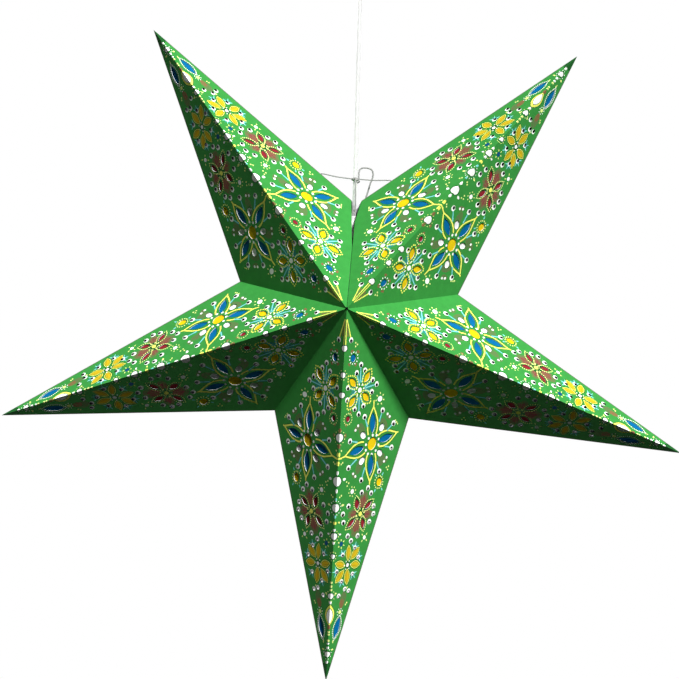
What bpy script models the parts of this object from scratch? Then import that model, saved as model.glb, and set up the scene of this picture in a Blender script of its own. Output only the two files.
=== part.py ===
"""A five-pointed folded paper star lantern, hung from a ceiling fitting by its cable.

Each arm is folded from printed card into four flat panels, two in front and two
behind, with a mountain crease along each ridge and an outer crease along each edge.
Valley creases join neighbouring arms, and the seam at the top is left open, tied with
string round the cable. The lampholder and its bulb hang inside.

The origin is the middle of the ceiling plate's upper face, +Z is up and the star
faces -Y. Everything is in metres.
"""

import math

import bpy
from mathutils import Matrix, Vector

# The folded star
TIP_RADIUS = 0.3155
NOTCH_RADIUS = 0.1013
HALF_DEPTH = 0.0925
STAR_DROP = 0.383
CABLE_LEAN = 0.006
ARM_NAMES = ("bottom", "right", "top_right", "top_left", "left")
FIRST_AZIMUTH = math.radians(-90.0)
ARM_STEP = math.tau / len(ARM_NAMES)
# How many degrees each arm stands off its even place, because the open seam lets the star splay
ARM_SPLAY_DEGREES = {"bottom": 0.0, "right": -0.3, "top_right": -1.4, "top_left": 0.7, "left": 0.6}

# The card and the gaps left along its creases
CARD = 0.0004
CREASE_GAP = 0.0002
APEX_HOLE = 0.0016

# The open seam at the top, whose two corners stand apart
SEAM_ARMS = ("top_right", "top_left")
SEAM_RISE = 0.0075
SEAM_CORNER_LEFT = 0.0025
SEAM_CORNER_RIGHT = 0.0066
SEAM_GAP = 0.0002
# How far out from the apex each panel keeps to the seam, as a share of the way to its corner
SEAM_CLOSED_SHARES = {
    ("front", "cw"): 0.56,
    ("front", "ccw"): 0.81,
    ("back", "cw"): 0.94,
    ("back", "ccw"): 0.94,
}

# The tissue glued behind the windows
TISSUE = 0.00012
TISSUE_GAP = 0.0002
TISSUE_FROM_RIDGE = 0.008
TISSUE_FROM_VALLEY = 0.007
TISSUE_FROM_EDGE = 0.0045

# The windows cut in every panel. A row holds the middle, as shares of the ridge length and of
# the panel's height, the length and width, as shares of the ridge length, and the turn in degrees
PETAL_WINDOW_SHARES = (
    (0.316, 0.463, 0.057, 0.0215, 2.0),
    (0.430, 0.465, 0.056, 0.0215, -2.0),
    (0.363, 0.663, 0.056, 0.0200, 101.0),
    (0.384, 0.252, 0.056, 0.0205, 102.0),
    (0.189, 0.343, 0.034, 0.0185, -37.0),
    (0.242, 0.339, 0.034, 0.0185, 48.0),
    (0.198, 0.141, 0.034, 0.0185, 45.0),
    (0.250, 0.146, 0.034, 0.0185, -40.0),
    (0.539, 0.466, 0.031, 0.0130, -57.0),
    (0.586, 0.400, 0.028, 0.0145, 10.0),
    (0.530, 0.301, 0.029, 0.0170, 12.0),
    (0.579, 0.230, 0.033, 0.0130, -54.0),
    (0.860, 0.112, 0.060, 0.0195, -17.0),
)
OVAL_WINDOW_SHARES = (
    (0.372, 0.468, 0.036, 0.0310, -40.0),
    (0.332, 0.597, 0.022, 0.0175, -35.0),
    (0.401, 0.588, 0.022, 0.0170, 50.0),
    (0.345, 0.332, 0.022, 0.0180, 55.0),
    (0.414, 0.332, 0.024, 0.0175, -50.0),
    (0.133, 0.128, 0.0215, 0.0180, 0.0),
    (0.294, 0.100, 0.016, 0.0145, 0.0),
    (0.481, 0.608, 0.0235, 0.0205, 0.0),
)
POINTS_A_SIDE = 3
OVAL_POINTS = 8

# The cable
CABLE_DIAMETER = 0.0036
SEAT_GAP = 0.0003

# The ceiling fitting
PLATE_RADIUS = 0.0365
PLATE_THICKNESS = 0.003
PLATE_SCREW_SPACING = 0.05
PLATE_SCREW_HOLE_RADIUS = 0.0021
PLATE_SUPPLY_HOLE_RADIUS = 0.006
PLATE_SUPPLY_HOLE_OFFSET = 0.016
CUP_RIM_RADIUS = 0.0385
CUP_BASE_RADIUS = 0.016
CUP_HEIGHT = 0.038
CUP_WALL = 0.0015
CUP_RIM_GAP = 0.0005
CUP_SHOULDER_SHARE = 0.35
CUP_HOLE_RADIUS = 0.0045
NIPPLE_RADIUS = 0.0065
NIPPLE_TIP_RADIUS = 0.0032
NIPPLE_LENGTH = 0.013
NIPPLE_NECK_RADIUS = 0.0042
NIPPLE_FLANGE_RADIUS = 0.0075
NIPPLE_FLANGE = 0.002
NIPPLE_SHOULDER_SHARE = 0.3
TERMINAL_LENGTH = 0.024
TERMINAL_WIDTH = 0.016
TERMINAL_HEIGHT = 0.011

# The lampholder, measured down from the top of its cord grip
GRIP_TOP_ABOVE_CENTRE = 0.0945
GRIP_LENGTH = 0.014
GRIP_TOP_RADIUS = 0.0034
GRIP_BASE_RADIUS = 0.0085
GRIP_WAIST_SHARE = 0.35
HOLDER_RADIUS = 0.014
HOLDER_NECK_RADIUS = 0.0095
HOLDER_LENGTH = 0.045
HOLDER_WALL = 0.0014
HOLDER_SHOULDER = 0.006
CORE_LENGTH = 0.011
CORE_CLEARANCE = 0.0003
SLEEVE_LENGTH = 0.024
SLEEVE_WALL = 0.0005
SLEEVE_CLEARANCE = 0.0005
CONTACT_RADIUS = 0.0024
CONTACT_HEIGHT = 0.002

# The bulb
BULB_CAP_RADIUS = 0.0069
BULB_CAP_LENGTH = 0.02
BULB_CAP_WALL = 0.0004
BULB_CAP_CONE = 0.003
BULB_CAP_TOP_RADIUS = 0.0045
BULB_TIP_RADIUS = 0.0023
BULB_TIP_HEIGHT = 0.0015
BULB_NECK_RADIUS = 0.0061
BULB_NECK_IN_CAP = 0.009
BULB_RADIUS = 0.0132
BULB_BELOW_CAP = 0.038
BULB_WALL = 0.0007
BULB_ROWS = 5
FILAMENT_DIAMETER = 0.0005
FILAMENT_HALF_SPAN = 0.005
FILAMENT_DROP = 0.034
FILAMENT_RISE = 0.004
FILAMENT_LEG_OFFSET = 0.0022

# The strings that tie the open seam round the cable
STRING_DIAMETER = 0.0012
STRING_SAG = 0.0005
STRING_FROM_CORNER_LEFT = 0.0355
STRING_FROM_CORNER_RIGHT = 0.0315
STRING_BEHIND = 0.0065
STRING_STEP = 0.0026
KNOT_RADIUS = 0.0009
KNOT_ABOVE_CORNER = 0.0196
KNOT_TURNS = 2
KNOT_POINTS = 8
TAIL_SPREAD = 0.0021
STRAIGHT_TAIL = 0.031
ARCHED_TAIL_DIAMETER = 0.0016

# How finely round pieces are drawn
TURNED_STEPS = 24
FINE_STEPS = 16
HOLE_POINTS = 12
CORD_STEP = 0.009
MERGE = 0.00001

CENTRE = Vector((CABLE_LEAN, 0.0, -STAR_DROP))
APEX = {
    "front": CENTRE + Vector((0.0, -HALF_DEPTH, 0.0)),
    "back": CENTRE + Vector((0.0, HALF_DEPTH, 0.0)),
}


def clear_scene():
    for obj in list(bpy.data.objects):
        bpy.data.objects.remove(obj, do_unlink=True)


def make_material(name, colour, roughness, metallic=0.0):
    material = bpy.data.materials.new(name)
    material.use_nodes = True
    shader = material.node_tree.nodes["Principled BSDF"]
    shader.inputs["Base Color"].default_value = (*colour, 1.0)
    shader.inputs["Roughness"].default_value = roughness
    shader.inputs["Metallic"].default_value = metallic
    return material


def add_object(name, data, material, collection, matrix=None):
    obj = bpy.data.objects.new(name, data)
    if matrix is not None:
        obj.matrix_world = matrix
    data.materials.append(material)
    collection.objects.link(obj)
    return obj


# Places on the star

def around(radius, azimuth):
    """A point of the star's middle plane, seen from the front with azimuth 0 to the right."""
    return CENTRE + radius * Vector((math.cos(azimuth), 0.0, math.sin(azimuth)))


def arm_azimuth(arm):
    even = FIRST_AZIMUTH + ARM_STEP * ARM_NAMES.index(arm)
    return even + math.radians(ARM_SPLAY_DEGREES[arm])


def corner_azimuth(arm, side):
    """Half way between an arm and its neighbour on one side."""
    step = 1 if side == "ccw" else -1
    place = ARM_NAMES.index(arm)
    neighbour = ARM_NAMES[(place + step) % len(ARM_NAMES)]
    splay = math.radians(ARM_SPLAY_DEGREES[arm] + ARM_SPLAY_DEGREES[neighbour]) / 2
    return FIRST_AZIMUTH + ARM_STEP * (place + step / 2) + splay


def tip(arm):
    return around(TIP_RADIUS, arm_azimuth(arm))


def corner(arm, side):
    """The inner corner on one side of an arm; cw and ccw are as seen from the front."""
    if (arm, side) == (SEAM_ARMS[0], "ccw"):
        return CENTRE + Vector((SEAM_CORNER_RIGHT, 0.0, NOTCH_RADIUS + SEAM_RISE))
    if (arm, side) == (SEAM_ARMS[1], "cw"):
        return CENTRE + Vector((-SEAM_CORNER_LEFT, 0.0, NOTCH_RADIUS + SEAM_RISE))
    return around(NOTCH_RADIUS, corner_azimuth(arm, side))


def at_seam(arm, side):
    return (arm, side) in ((SEAM_ARMS[0], "ccw"), (SEAM_ARMS[1], "cw"))


class Facet:
    """One flat triangle of the star, with its own axes: x along the ridge, y to the corner."""

    def __init__(self, arm, layer, side):
        self.arm = arm
        self.layer = layer
        self.side = side
        self.apex = APEX[layer]
        self.tip = tip(arm)
        self.corner = corner(arm, side)
        ridge = self.tip - self.apex
        slant = self.corner - self.apex
        self.length = ridge.length
        along = ridge.normalized()
        across = slant - slant.dot(along) * along
        self.height = across.length
        across.normalize()
        self.corner_x = slant.dot(along)
        normal = along.cross(across)
        self.outward = 1.0 if normal.dot(self.apex - CENTRE) > 0.0 else -1.0
        self.normal = normal * self.outward
        self.matrix = Matrix.Translation(self.apex) @ Matrix(
            (along, across, normal)
        ).transposed().to_4x4()

    def outline(self, from_ridge, from_valley, from_edge):
        """The triangle's corners in its own plane, each edge moved in by its own distance."""
        apex = Vector((0.0, 0.0))
        tip_2d = Vector((self.length, 0.0))
        corner_2d = Vector((self.corner_x, self.height))
        lines = (
            inset_line(apex, tip_2d, from_ridge),
            inset_line(tip_2d, corner_2d, from_edge),
            inset_line(corner_2d, apex, from_valley),
        )
        return [cross_point(lines[i - 1], lines[i]) for i in range(len(lines))]


def inset_line(start, end, inset):
    """A line through start and end, moved left of its direction by inset."""
    way = (end - start).normalized()
    return start + inset * Vector((-way.y, way.x)), way


def cross_point(line, other):
    (p, u), (q, v) = line, other
    gap = q - p
    return p + u * ((gap.x * v.y - gap.y * v.x) / (u.x * v.y - u.y * v.x))


def mitre(facet, other):
    """How far two panels stop short of the crease between them, so that their thickness clears."""
    return CARD * math.tan(facet.normal.angle(other.normal) / 2)


def valley_mitre():
    return mitre(Facet("bottom", "front", "ccw"), Facet("right", "front", "cw"))


# Shapes

def flat_piece(name, outlines, thickness, outward, lift, matrix, material, collection):
    """A sheet cut to the first outline, with the others as its holes."""
    curve = bpy.data.curves.new(name, "CURVE")
    curve.dimensions = "2D"
    curve.fill_mode = "BOTH"
    curve.extrude = thickness / 2
    for outline in outlines:
        spline = curve.splines.new("POLY")
        spline.points.add(len(outline) - 1)
        for point, place in zip(spline.points, outline):
            point.co = (place[0], place[1], 0.0, 1.0)
        spline.use_cyclic_u = True
    raised = Matrix.Translation((0.0, 0.0, outward * (lift + thickness / 2)))
    return add_object(name, curve, material, collection, matrix @ raised)


def turned_piece(name, profile, top, steps, material, collection):
    """A closed profile of (radius, depth below top) turned about a vertical line through top."""
    mesh = bpy.data.meshes.new(name)
    points = [(radius, 0.0, -depth) for radius, depth in profile]
    open_profile = profile[0][0] == 0.0 and profile[-1][0] == 0.0
    count = len(points)
    edges = [(i, i + 1) for i in range(count - 1)]
    if not open_profile:
        edges.append((count - 1, 0))
    mesh.from_pydata(points, edges, [])
    obj = add_object(name, mesh, material, collection, Matrix.Translation(top))
    screw = obj.modifiers.new("Turn", "SCREW")
    screw.steps = steps
    screw.render_steps = steps
    screw.use_merge_vertices = True
    screw.merge_threshold = MERGE
    screw.use_smooth_shade = True
    return obj


def tube_piece(name, points, diameter, material, collection, bevel=2):
    curve = bpy.data.curves.new(name, "CURVE")
    curve.dimensions = "3D"
    curve.bevel_depth = diameter / 2
    curve.bevel_resolution = bevel
    curve.use_fill_caps = True
    spline = curve.splines.new("POLY")
    spline.points.add(len(points) - 1)
    for point, place in zip(spline.points, points):
        point.co = (*place, 1.0)
    return add_object(name, curve, material, collection)


def turned_axes(turn):
    angle = math.radians(turn)
    along = Vector((math.cos(angle), math.sin(angle)))
    return along, Vector((-along.y, along.x))


def lens(centre, length, width, turn, points_a_side):
    """A window drawn by two equal arcs that meet in points."""
    along, across = turned_axes(turn)
    places = []
    for side in (1.0, -1.0):
        for i in range(points_a_side):
            share = i / points_a_side
            step = (share - 1.0 / 2) * length
            bulge = 2 * share * (1.0 - share) * width
            places.append(centre + side * (step * along - bulge * across))
    return places


def oval(centre, length, width, turn, points):
    along, across = turned_axes(turn)
    places = []
    for i in range(points):
        angle = math.tau * i / points
        places.append(centre + length / 2 * math.cos(angle) * along
                      + width / 2 * math.sin(angle) * across)
    return places


def ring(centre, radius, points):
    return [
        centre + radius * Vector((math.cos(math.tau * i / points), math.sin(math.tau * i / points)))
        for i in range(points)
    ]


def smooth_route(points, step):
    """Points about a step apart on the smooth curve through the route's own points."""
    places = [Vector(points[0])]
    ends = [points[0], *points, points[-1]]
    for i in range(len(points) - 1):
        a, b, c, d = (Vector(p) for p in ends[i:i + 4])
        pieces = max(1, round((c - b).length / step))
        for j in range(1, pieces + 1):
            t = j / pieces
            places.append(
                0.5 * (2 * b + (c - a) * t + (2 * a - 5 * b + 4 * c - d) * t**2
                       + (3 * b - a - 3 * c + d) * t**3)
            )
    return places


# The star's card and tissue

def panel_windows(facet):
    windows = []
    for draw, points, rows in (
        (lens, POINTS_A_SIDE, PETAL_WINDOW_SHARES),
        (oval, OVAL_POINTS, OVAL_WINDOW_SHARES),
    ):
        for along, across, length, width, turn in rows:
            middle = Vector((along * facet.length, across * facet.height))
            windows.append(draw(middle, length * facet.length, width * facet.length, turn, points))
    return windows


def panel_outline(facet):
    from_valley = CREASE_GAP + valley_mitre()
    apex, tip_2d, corner_2d = facet.outline(CREASE_GAP, from_valley, CREASE_GAP)
    ridge = (tip_2d - apex).normalized()
    if not at_seam(facet.arm, facet.side):
        valley = (corner_2d - apex).normalized()
        return [apex + APEX_HOLE * ridge, tip_2d, corner_2d, apex + APEX_HOLE * valley]
    seam, begin = seam_line(facet, apex, ridge)
    reach = SEAM_CLOSED_SHARES[facet.layer, facet.side] * (facet.corner - facet.apex).length
    return [begin + APEX_HOLE * ridge, tip_2d, corner_2d, begin + reach * seam,
            begin + APEX_HOLE * seam]


def seam_line(facet, apex, ridge):
    """The way of the line where the seam's two panels would meet, in one panel's own plane, and
    the place where that panel's edge along it begins."""
    arm, side = (SEAM_ARMS[1], "cw") if facet.side == "ccw" else (SEAM_ARMS[0], "ccw")
    other = Facet(arm, facet.layer, side)
    line = facet.normal.cross(other.normal).normalized()
    if line.z < 0.0:
        line = -line
    way = (facet.matrix.to_3x3().inverted() @ line).to_2d()
    inset = CREASE_GAP + SEAM_GAP + mitre(facet, other)
    edge = inset_line(way, Vector((0.0, 0.0)), inset)
    return way, cross_point((apex, ridge), edge)


def build_panels(card, tissue, collection):
    for arm in ARM_NAMES:
        for layer in APEX:
            for side in ("cw", "ccw"):
                facet = Facet(arm, layer, side)
                name = f"{arm}_arm_{layer}_{side}"
                outlines = [panel_outline(facet), *panel_windows(facet)]
                flat_piece(f"{name}_panel", outlines, CARD, facet.outward, 0.0,
                           facet.matrix, card, collection)
                backing = facet.outline(TISSUE_FROM_RIDGE, TISSUE_FROM_VALLEY, TISSUE_FROM_EDGE)
                flat_piece(f"{name}_tissue", [backing], TISSUE, -facet.outward, TISSUE_GAP,
                           facet.matrix, tissue, collection)


# The ceiling fitting

def build_ceiling_fitting(plastic, block, collection):
    side = PLATE_SCREW_SPACING / 2
    holes = [
        ring(Vector((-side, 0.0)), PLATE_SCREW_HOLE_RADIUS, HOLE_POINTS),
        ring(Vector((side, 0.0)), PLATE_SCREW_HOLE_RADIUS, HOLE_POINTS),
        ring(Vector((0.0, PLATE_SUPPLY_HOLE_OFFSET)), PLATE_SUPPLY_HOLE_RADIUS, HOLE_POINTS),
    ]
    disc = ring(Vector((0.0, 0.0)), PLATE_RADIUS, TURNED_STEPS)
    flat_piece("ceiling_plate", [disc, *holes], PLATE_THICKNESS, -1.0, 0.0, Matrix(), plastic,
               collection)
    inner_rim = CUP_RIM_RADIUS - CUP_WALL
    inner_base = CUP_BASE_RADIUS - CUP_WALL
    shoulder = CUP_HEIGHT * CUP_SHOULDER_SHARE
    cup = [
        (CUP_RIM_RADIUS, 0.0), (CUP_RIM_RADIUS, shoulder), (CUP_BASE_RADIUS, CUP_HEIGHT),
        (CUP_HOLE_RADIUS, CUP_HEIGHT), (CUP_HOLE_RADIUS, CUP_HEIGHT - CUP_WALL),
        (inner_base, CUP_HEIGHT - CUP_WALL), (inner_rim, shoulder), (inner_rim, 0.0),
    ]
    turned_piece("ceiling_cup", cup, Vector((0.0, 0.0, -CUP_RIM_GAP)), TURNED_STEPS, plastic,
                 collection)
    floor = -CUP_RIM_GAP - CUP_HEIGHT + CUP_WALL
    flange_top = floor + SEAT_GAP + NIPPLE_FLANGE
    under_cup = floor - CUP_WALL - SEAT_GAP
    tip_depth = flange_top - nipple_tip()
    nipple = [
        (0.0, 0.0), (NIPPLE_FLANGE_RADIUS, 0.0), (NIPPLE_FLANGE_RADIUS, NIPPLE_FLANGE),
        (NIPPLE_NECK_RADIUS, NIPPLE_FLANGE), (NIPPLE_NECK_RADIUS, flange_top - under_cup),
        (NIPPLE_RADIUS, flange_top - under_cup),
        (NIPPLE_RADIUS, flange_top - under_cup + NIPPLE_LENGTH * NIPPLE_SHOULDER_SHARE),
        (NIPPLE_TIP_RADIUS, tip_depth), (0.0, tip_depth),
    ]
    turned_piece("ceiling_cord_grip", nipple, Vector((0.0, 0.0, flange_top)), FINE_STEPS,
                 plastic, collection)
    half = Vector((TERMINAL_LENGTH / 2, TERMINAL_WIDTH / 2))
    square = [(-half.x, -half.y), (half.x, -half.y), (half.x, half.y), (-half.x, half.y)]
    flat_piece("terminal_block", [square], TERMINAL_HEIGHT, -1.0, PLATE_THICKNESS + SEAT_GAP,
               Matrix(), block, collection)


def nipple_tip():
    """The height of the lower end of the ceiling cord grip."""
    return -CUP_RIM_GAP - CUP_HEIGHT - SEAT_GAP - NIPPLE_LENGTH


# The cable

def grip_top():
    return CENTRE + Vector((0.0, 0.0, GRIP_TOP_ABOVE_CENTRE))


def cable_route():
    """From just under the ceiling fitting to just above the lampholder's cord grip."""
    top = nipple_tip() - SEAT_GAP
    end = grip_top()
    return (
        (0.0, 0.0, top), (0.0, 0.0, -0.06), (0.0003, 0.0, -0.082), (0.0011, 0.0, -0.11),
        (0.0022, 0.0, -0.145), (0.0034, 0.0, -0.18), (0.0046, 0.0, -0.215),
        (0.0055, 0.0, -0.245), (0.006, 0.0, -0.265), (end.x, 0.0, -0.278),
        (end.x, 0.0, end.z + SEAT_GAP),
    )


def build_cable(plastic, collection):
    route = smooth_route(cable_route(), CORD_STEP)
    tube_piece("power_cable", route, CABLE_DIAMETER, plastic, collection)


# The lampholder and the bulb

def build_lampholder(shell, core, brass, collection):
    top = grip_top()
    waist = GRIP_LENGTH * GRIP_WAIST_SHARE
    grip = [(0.0, 0.0), (GRIP_TOP_RADIUS, 0.0), (GRIP_TOP_RADIUS, waist),
            (GRIP_BASE_RADIUS, GRIP_LENGTH), (0.0, GRIP_LENGTH)]
    turned_piece("lampholder_cord_grip", grip, top, FINE_STEPS, shell, collection)
    holder_top = top - Vector((0.0, 0.0, GRIP_LENGTH + SEAT_GAP))
    inner = HOLDER_RADIUS - HOLDER_WALL
    inner_neck = HOLDER_NECK_RADIUS - HOLDER_WALL
    under = HOLDER_WALL
    shoulder = under + HOLDER_SHOULDER
    outer_shell = [
        (0.0, 0.0), (HOLDER_NECK_RADIUS, 0.0), (HOLDER_RADIUS, HOLDER_SHOULDER),
        (HOLDER_RADIUS, HOLDER_LENGTH), (inner, HOLDER_LENGTH), (inner, shoulder),
        (inner_neck, under), (0.0, under),
    ]
    turned_piece("lampholder_shell", outer_shell, holder_top, TURNED_STEPS, shell, collection)
    core_top = holder_top - Vector((0.0, 0.0, shoulder))
    block = [(0.0, 0.0), (inner - CORE_CLEARANCE, 0.0), (inner - CORE_CLEARANCE, CORE_LENGTH),
             (0.0, CORE_LENGTH)]
    turned_piece("lampholder_core", block, core_top, TURNED_STEPS, core, collection)
    under_core = core_top - Vector((0.0, 0.0, CORE_LENGTH + SEAT_GAP))
    bore = BULB_CAP_RADIUS + SLEEVE_CLEARANCE
    sleeve = [(bore + SLEEVE_WALL, 0.0), (bore + SLEEVE_WALL, SLEEVE_LENGTH),
              (bore, SLEEVE_LENGTH), (bore, 0.0)]
    turned_piece("lampholder_screw_sleeve", sleeve, under_core, FINE_STEPS, brass, collection)
    contact = [(0.0, 0.0), (CONTACT_RADIUS, 0.0), (CONTACT_RADIUS, CONTACT_HEIGHT),
               (0.0, CONTACT_HEIGHT)]
    turned_piece("lampholder_centre_contact", contact, under_core, FINE_STEPS, brass, collection)
    return under_core - Vector((0.0, 0.0, CONTACT_HEIGHT + SEAT_GAP))


def bulb_outline(offset, depth):
    """The glass from its open neck down to its bottom, offset inwards, as (radius, depth)."""
    neck = BULB_NECK_RADIUS - offset
    wide = BULB_RADIUS - offset
    bottom = depth + BULB_NECK_IN_CAP + BULB_BELOW_CAP
    flare = depth + BULB_NECK_IN_CAP
    middle = bottom - BULB_RADIUS
    places = [(neck, depth), (neck, flare)]
    for i in range(1, BULB_ROWS + 1):
        share = i / BULB_ROWS
        ease = share * share * (3.0 - 2.0 * share)
        places.append((neck + (wide - neck) * ease, flare + (middle - flare) * share))
    for i in range(1, BULB_ROWS):
        angle = math.tau / 4 * i / BULB_ROWS
        places.append((wide * math.cos(angle), middle + wide * math.sin(angle)))
    places.append((0.0, middle + wide))
    return places


def build_bulb(tip_top, glass, brass, solder, collection):
    tip_piece = [(0.0, 0.0), (BULB_TIP_RADIUS, 0.0), (BULB_TIP_RADIUS, BULB_TIP_HEIGHT),
                 (0.0, BULB_TIP_HEIGHT)]
    turned_piece("bulb_tip_contact", tip_piece, tip_top, FINE_STEPS, solder, collection)
    cap_top = tip_top - Vector((0.0, 0.0, BULB_TIP_HEIGHT + SEAT_GAP))
    inner = BULB_CAP_RADIUS - BULB_CAP_WALL
    cap = [
        (0.0, 0.0), (BULB_CAP_TOP_RADIUS, 0.0), (BULB_CAP_RADIUS, BULB_CAP_CONE),
        (BULB_CAP_RADIUS, BULB_CAP_LENGTH), (inner, BULB_CAP_LENGTH),
        (inner, BULB_CAP_CONE + BULB_CAP_WALL), (0.0, BULB_CAP_CONE + BULB_CAP_WALL),
    ]
    turned_piece("bulb_cap", cap, cap_top, FINE_STEPS, brass, collection)
    neck_depth = BULB_CAP_LENGTH - BULB_NECK_IN_CAP
    outside = bulb_outline(0.0, neck_depth)
    inside = bulb_outline(BULB_WALL, neck_depth)
    turned_piece("bulb_glass", outside + inside[::-1], cap_top, TURNED_STEPS, glass, collection)
    filament_top = cap_top - Vector((0.0, 0.0, BULB_CAP_CONE + BULB_CAP_WALL + SEAT_GAP))
    drop = Vector((0.0, 0.0, FILAMENT_DROP))
    lift = Vector((0.0, 0.0, FILAMENT_RISE))
    leg = Vector((FILAMENT_LEG_OFFSET, 0.0, 0.0))
    span = Vector((FILAMENT_HALF_SPAN, 0.0, 0.0))
    wire = [filament_top - leg, filament_top - leg - drop + lift, filament_top - span - drop,
            filament_top - drop + lift, filament_top + span - drop,
            filament_top + leg - drop + lift, filament_top + leg]
    tube_piece("bulb_filament", wire, FILAMENT_DIAMETER, solder, collection, bevel=1)


# The strings

def knot_centre():
    return CENTRE + Vector((0.0, 0.0, NOTCH_RADIUS + SEAM_RISE + KNOT_ABOVE_CORNER))


def knot_hole():
    """The radius of the knot's inside, round the cable."""
    return CABLE_DIAMETER / 2 + SEAT_GAP


def string_route(arm, side, from_corner, way):
    """From a hole in the back panel, over the arm's outer crease, to the knot's flank."""
    facet = Facet(arm, "back", side)
    start = corner(arm, side)
    crease = (tip(arm) - start).normalized()
    edge = start + from_corner * crease
    inward = crease.cross(facet.normal)
    if inward.dot(facet.apex - edge) < 0.0:
        inward = -inward
    away = Vector((0.0, 1.0, 0.0)).cross(crease)
    if away.z < 0.0:
        away = -away
    lift = CARD + SEAT_GAP + STRING_DIAMETER / 2
    reach = knot_hole() + 2 * KNOT_RADIUS + SEAT_GAP
    end = knot_centre() + Vector((way * reach, 0.0, 0.0))
    over = edge + lift * (facet.normal + away).normalized()
    middle = over.lerp(end, 1.0 / 2) - Vector((0.0, 0.0, STRING_SAG))
    behind = edge + lift * facet.normal
    return smooth_route(
        [behind + STRING_BEHIND * inward, behind + STRING_BEHIND / 2 * inward, over, middle, end],
        STRING_STEP)


def straight_tail_route():
    """Down beside the cable from the knot's front."""
    front = knot_hole() + 2 * KNOT_RADIUS + SEAT_GAP + STRING_DIAMETER / 2
    begin = knot_centre() - Vector((0.0, front, 0.0))
    end = begin + Vector((TAIL_SPREAD, 0.0, -STRAIGHT_TAIL))
    return smooth_route([begin, begin.lerp(end, 1.0 / 2), end], STRING_STEP)


def arched_tail_route():
    """Up from the knot's back in an arch, and down behind the right arm's corner."""
    knot = knot_centre()
    offsets = (
        (0.0028, 0.0043, 0.0002), (0.0029, 0.0044, 0.0040), (0.0030, 0.0045, 0.0078),
        (0.0043, 0.0047, 0.0104), (0.0070, 0.0049, 0.0114), (0.0110, 0.0052, 0.0113),
        (0.0142, 0.0056, 0.0099), (0.0155, 0.0060, 0.0065), (0.0150, 0.0066, 0.0022),
        (0.0135, 0.0072, -0.0022), (0.0121, 0.0082, -0.0081), (0.0103, 0.0094, -0.0150),
        (0.0094, 0.0102, -0.0186),
    )
    return smooth_route([knot + Vector(offset) for offset in offsets], STRING_STEP)


def build_strings(cotton, collection):
    left, right = SEAM_ARMS[1], SEAM_ARMS[0]
    for name, route, diameter in (
        ("tie_string_left", string_route(left, "cw", STRING_FROM_CORNER_LEFT, -1.0),
         STRING_DIAMETER),
        ("tie_string_right", string_route(right, "ccw", STRING_FROM_CORNER_RIGHT, 1.0),
         STRING_DIAMETER),
        ("tie_tail_straight", straight_tail_route(), STRING_DIAMETER),
        ("tie_tail_arched", arched_tail_route(), ARCHED_TAIL_DIAMETER),
    ):
        tube_piece(name, route, diameter, cotton, collection)
    knot = []
    for i in range(KNOT_POINTS):
        angle = -math.tau * i / KNOT_POINTS
        knot.append((knot_hole() + KNOT_RADIUS + KNOT_RADIUS * math.cos(angle),
                     -KNOT_RADIUS * KNOT_TURNS * math.sin(angle)))
    turned_piece("tie_knot", knot, knot_centre(), FINE_STEPS, cotton, collection)


def build():
    clear_scene()
    collection = bpy.data.collections.new("paper_star_lantern")
    bpy.context.scene.collection.children.link(collection)
    card = make_material("printed_card", (0.06, 0.32, 0.06), 0.55)
    tissue = make_material("tissue", (0.75, 0.66, 0.3), 0.8)
    white = make_material("white_plastic", (0.82, 0.82, 0.8), 0.35)
    ceramic = make_material("lampholder_core", (0.78, 0.76, 0.7), 0.5)
    brass = make_material("brass", (0.72, 0.55, 0.25), 0.3, 1.0)
    solder = make_material("tinned_metal", (0.6, 0.6, 0.6), 0.35, 1.0)
    glass = make_material("bulb_glass", (0.9, 0.9, 0.88), 0.08)
    cotton = make_material("cotton_string", (0.85, 0.84, 0.8), 0.9)
    build_panels(card, tissue, collection)
    build_ceiling_fitting(white, ceramic, collection)
    build_cable(white, collection)
    bulb_top = build_lampholder(white, ceramic, brass, collection)
    build_bulb(bulb_top, glass, brass, solder, collection)
    build_strings(cotton, collection)


build()
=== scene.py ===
import itertools
import math
import random

import bmesh
import bpy
from mathutils import Matrix, Vector, noise
from mathutils.geometry import delaunay_2d_cdt


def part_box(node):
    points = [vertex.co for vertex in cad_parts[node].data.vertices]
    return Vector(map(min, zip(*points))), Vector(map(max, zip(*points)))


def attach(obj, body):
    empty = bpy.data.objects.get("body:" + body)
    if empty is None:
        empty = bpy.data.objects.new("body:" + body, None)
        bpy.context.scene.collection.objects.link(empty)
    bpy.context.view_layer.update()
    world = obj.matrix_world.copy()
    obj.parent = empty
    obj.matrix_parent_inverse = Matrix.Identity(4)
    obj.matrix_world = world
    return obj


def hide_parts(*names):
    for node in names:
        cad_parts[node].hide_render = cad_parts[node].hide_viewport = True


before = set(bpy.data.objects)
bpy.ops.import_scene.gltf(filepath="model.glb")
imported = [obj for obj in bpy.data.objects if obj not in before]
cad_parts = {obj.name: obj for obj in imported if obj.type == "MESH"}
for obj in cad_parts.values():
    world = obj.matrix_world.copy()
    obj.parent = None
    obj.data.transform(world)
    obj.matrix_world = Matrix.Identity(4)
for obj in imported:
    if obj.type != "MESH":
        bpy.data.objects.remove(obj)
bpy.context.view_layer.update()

# The folded star, as in the part's own source, in metres
TIP_RADIUS = 0.3155
NOTCH_RADIUS = 0.1013
HALF_DEPTH = 0.0925
CENTRE = Vector((0.006, 0, -0.383))
ARM_NAMES = ("bottom", "right", "top_right", "top_left", "left")
FIRST_AZIMUTH = math.radians(-90)
ARM_STEP = math.tau / len(ARM_NAMES)
ARM_SPLAY_DEGREES = {"bottom": 0, "right": -0.3, "top_right": -1.4, "top_left": 0.7, "left": 0.6}
CARD = 0.0004
APEX_HOLE = 0.0016
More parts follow.
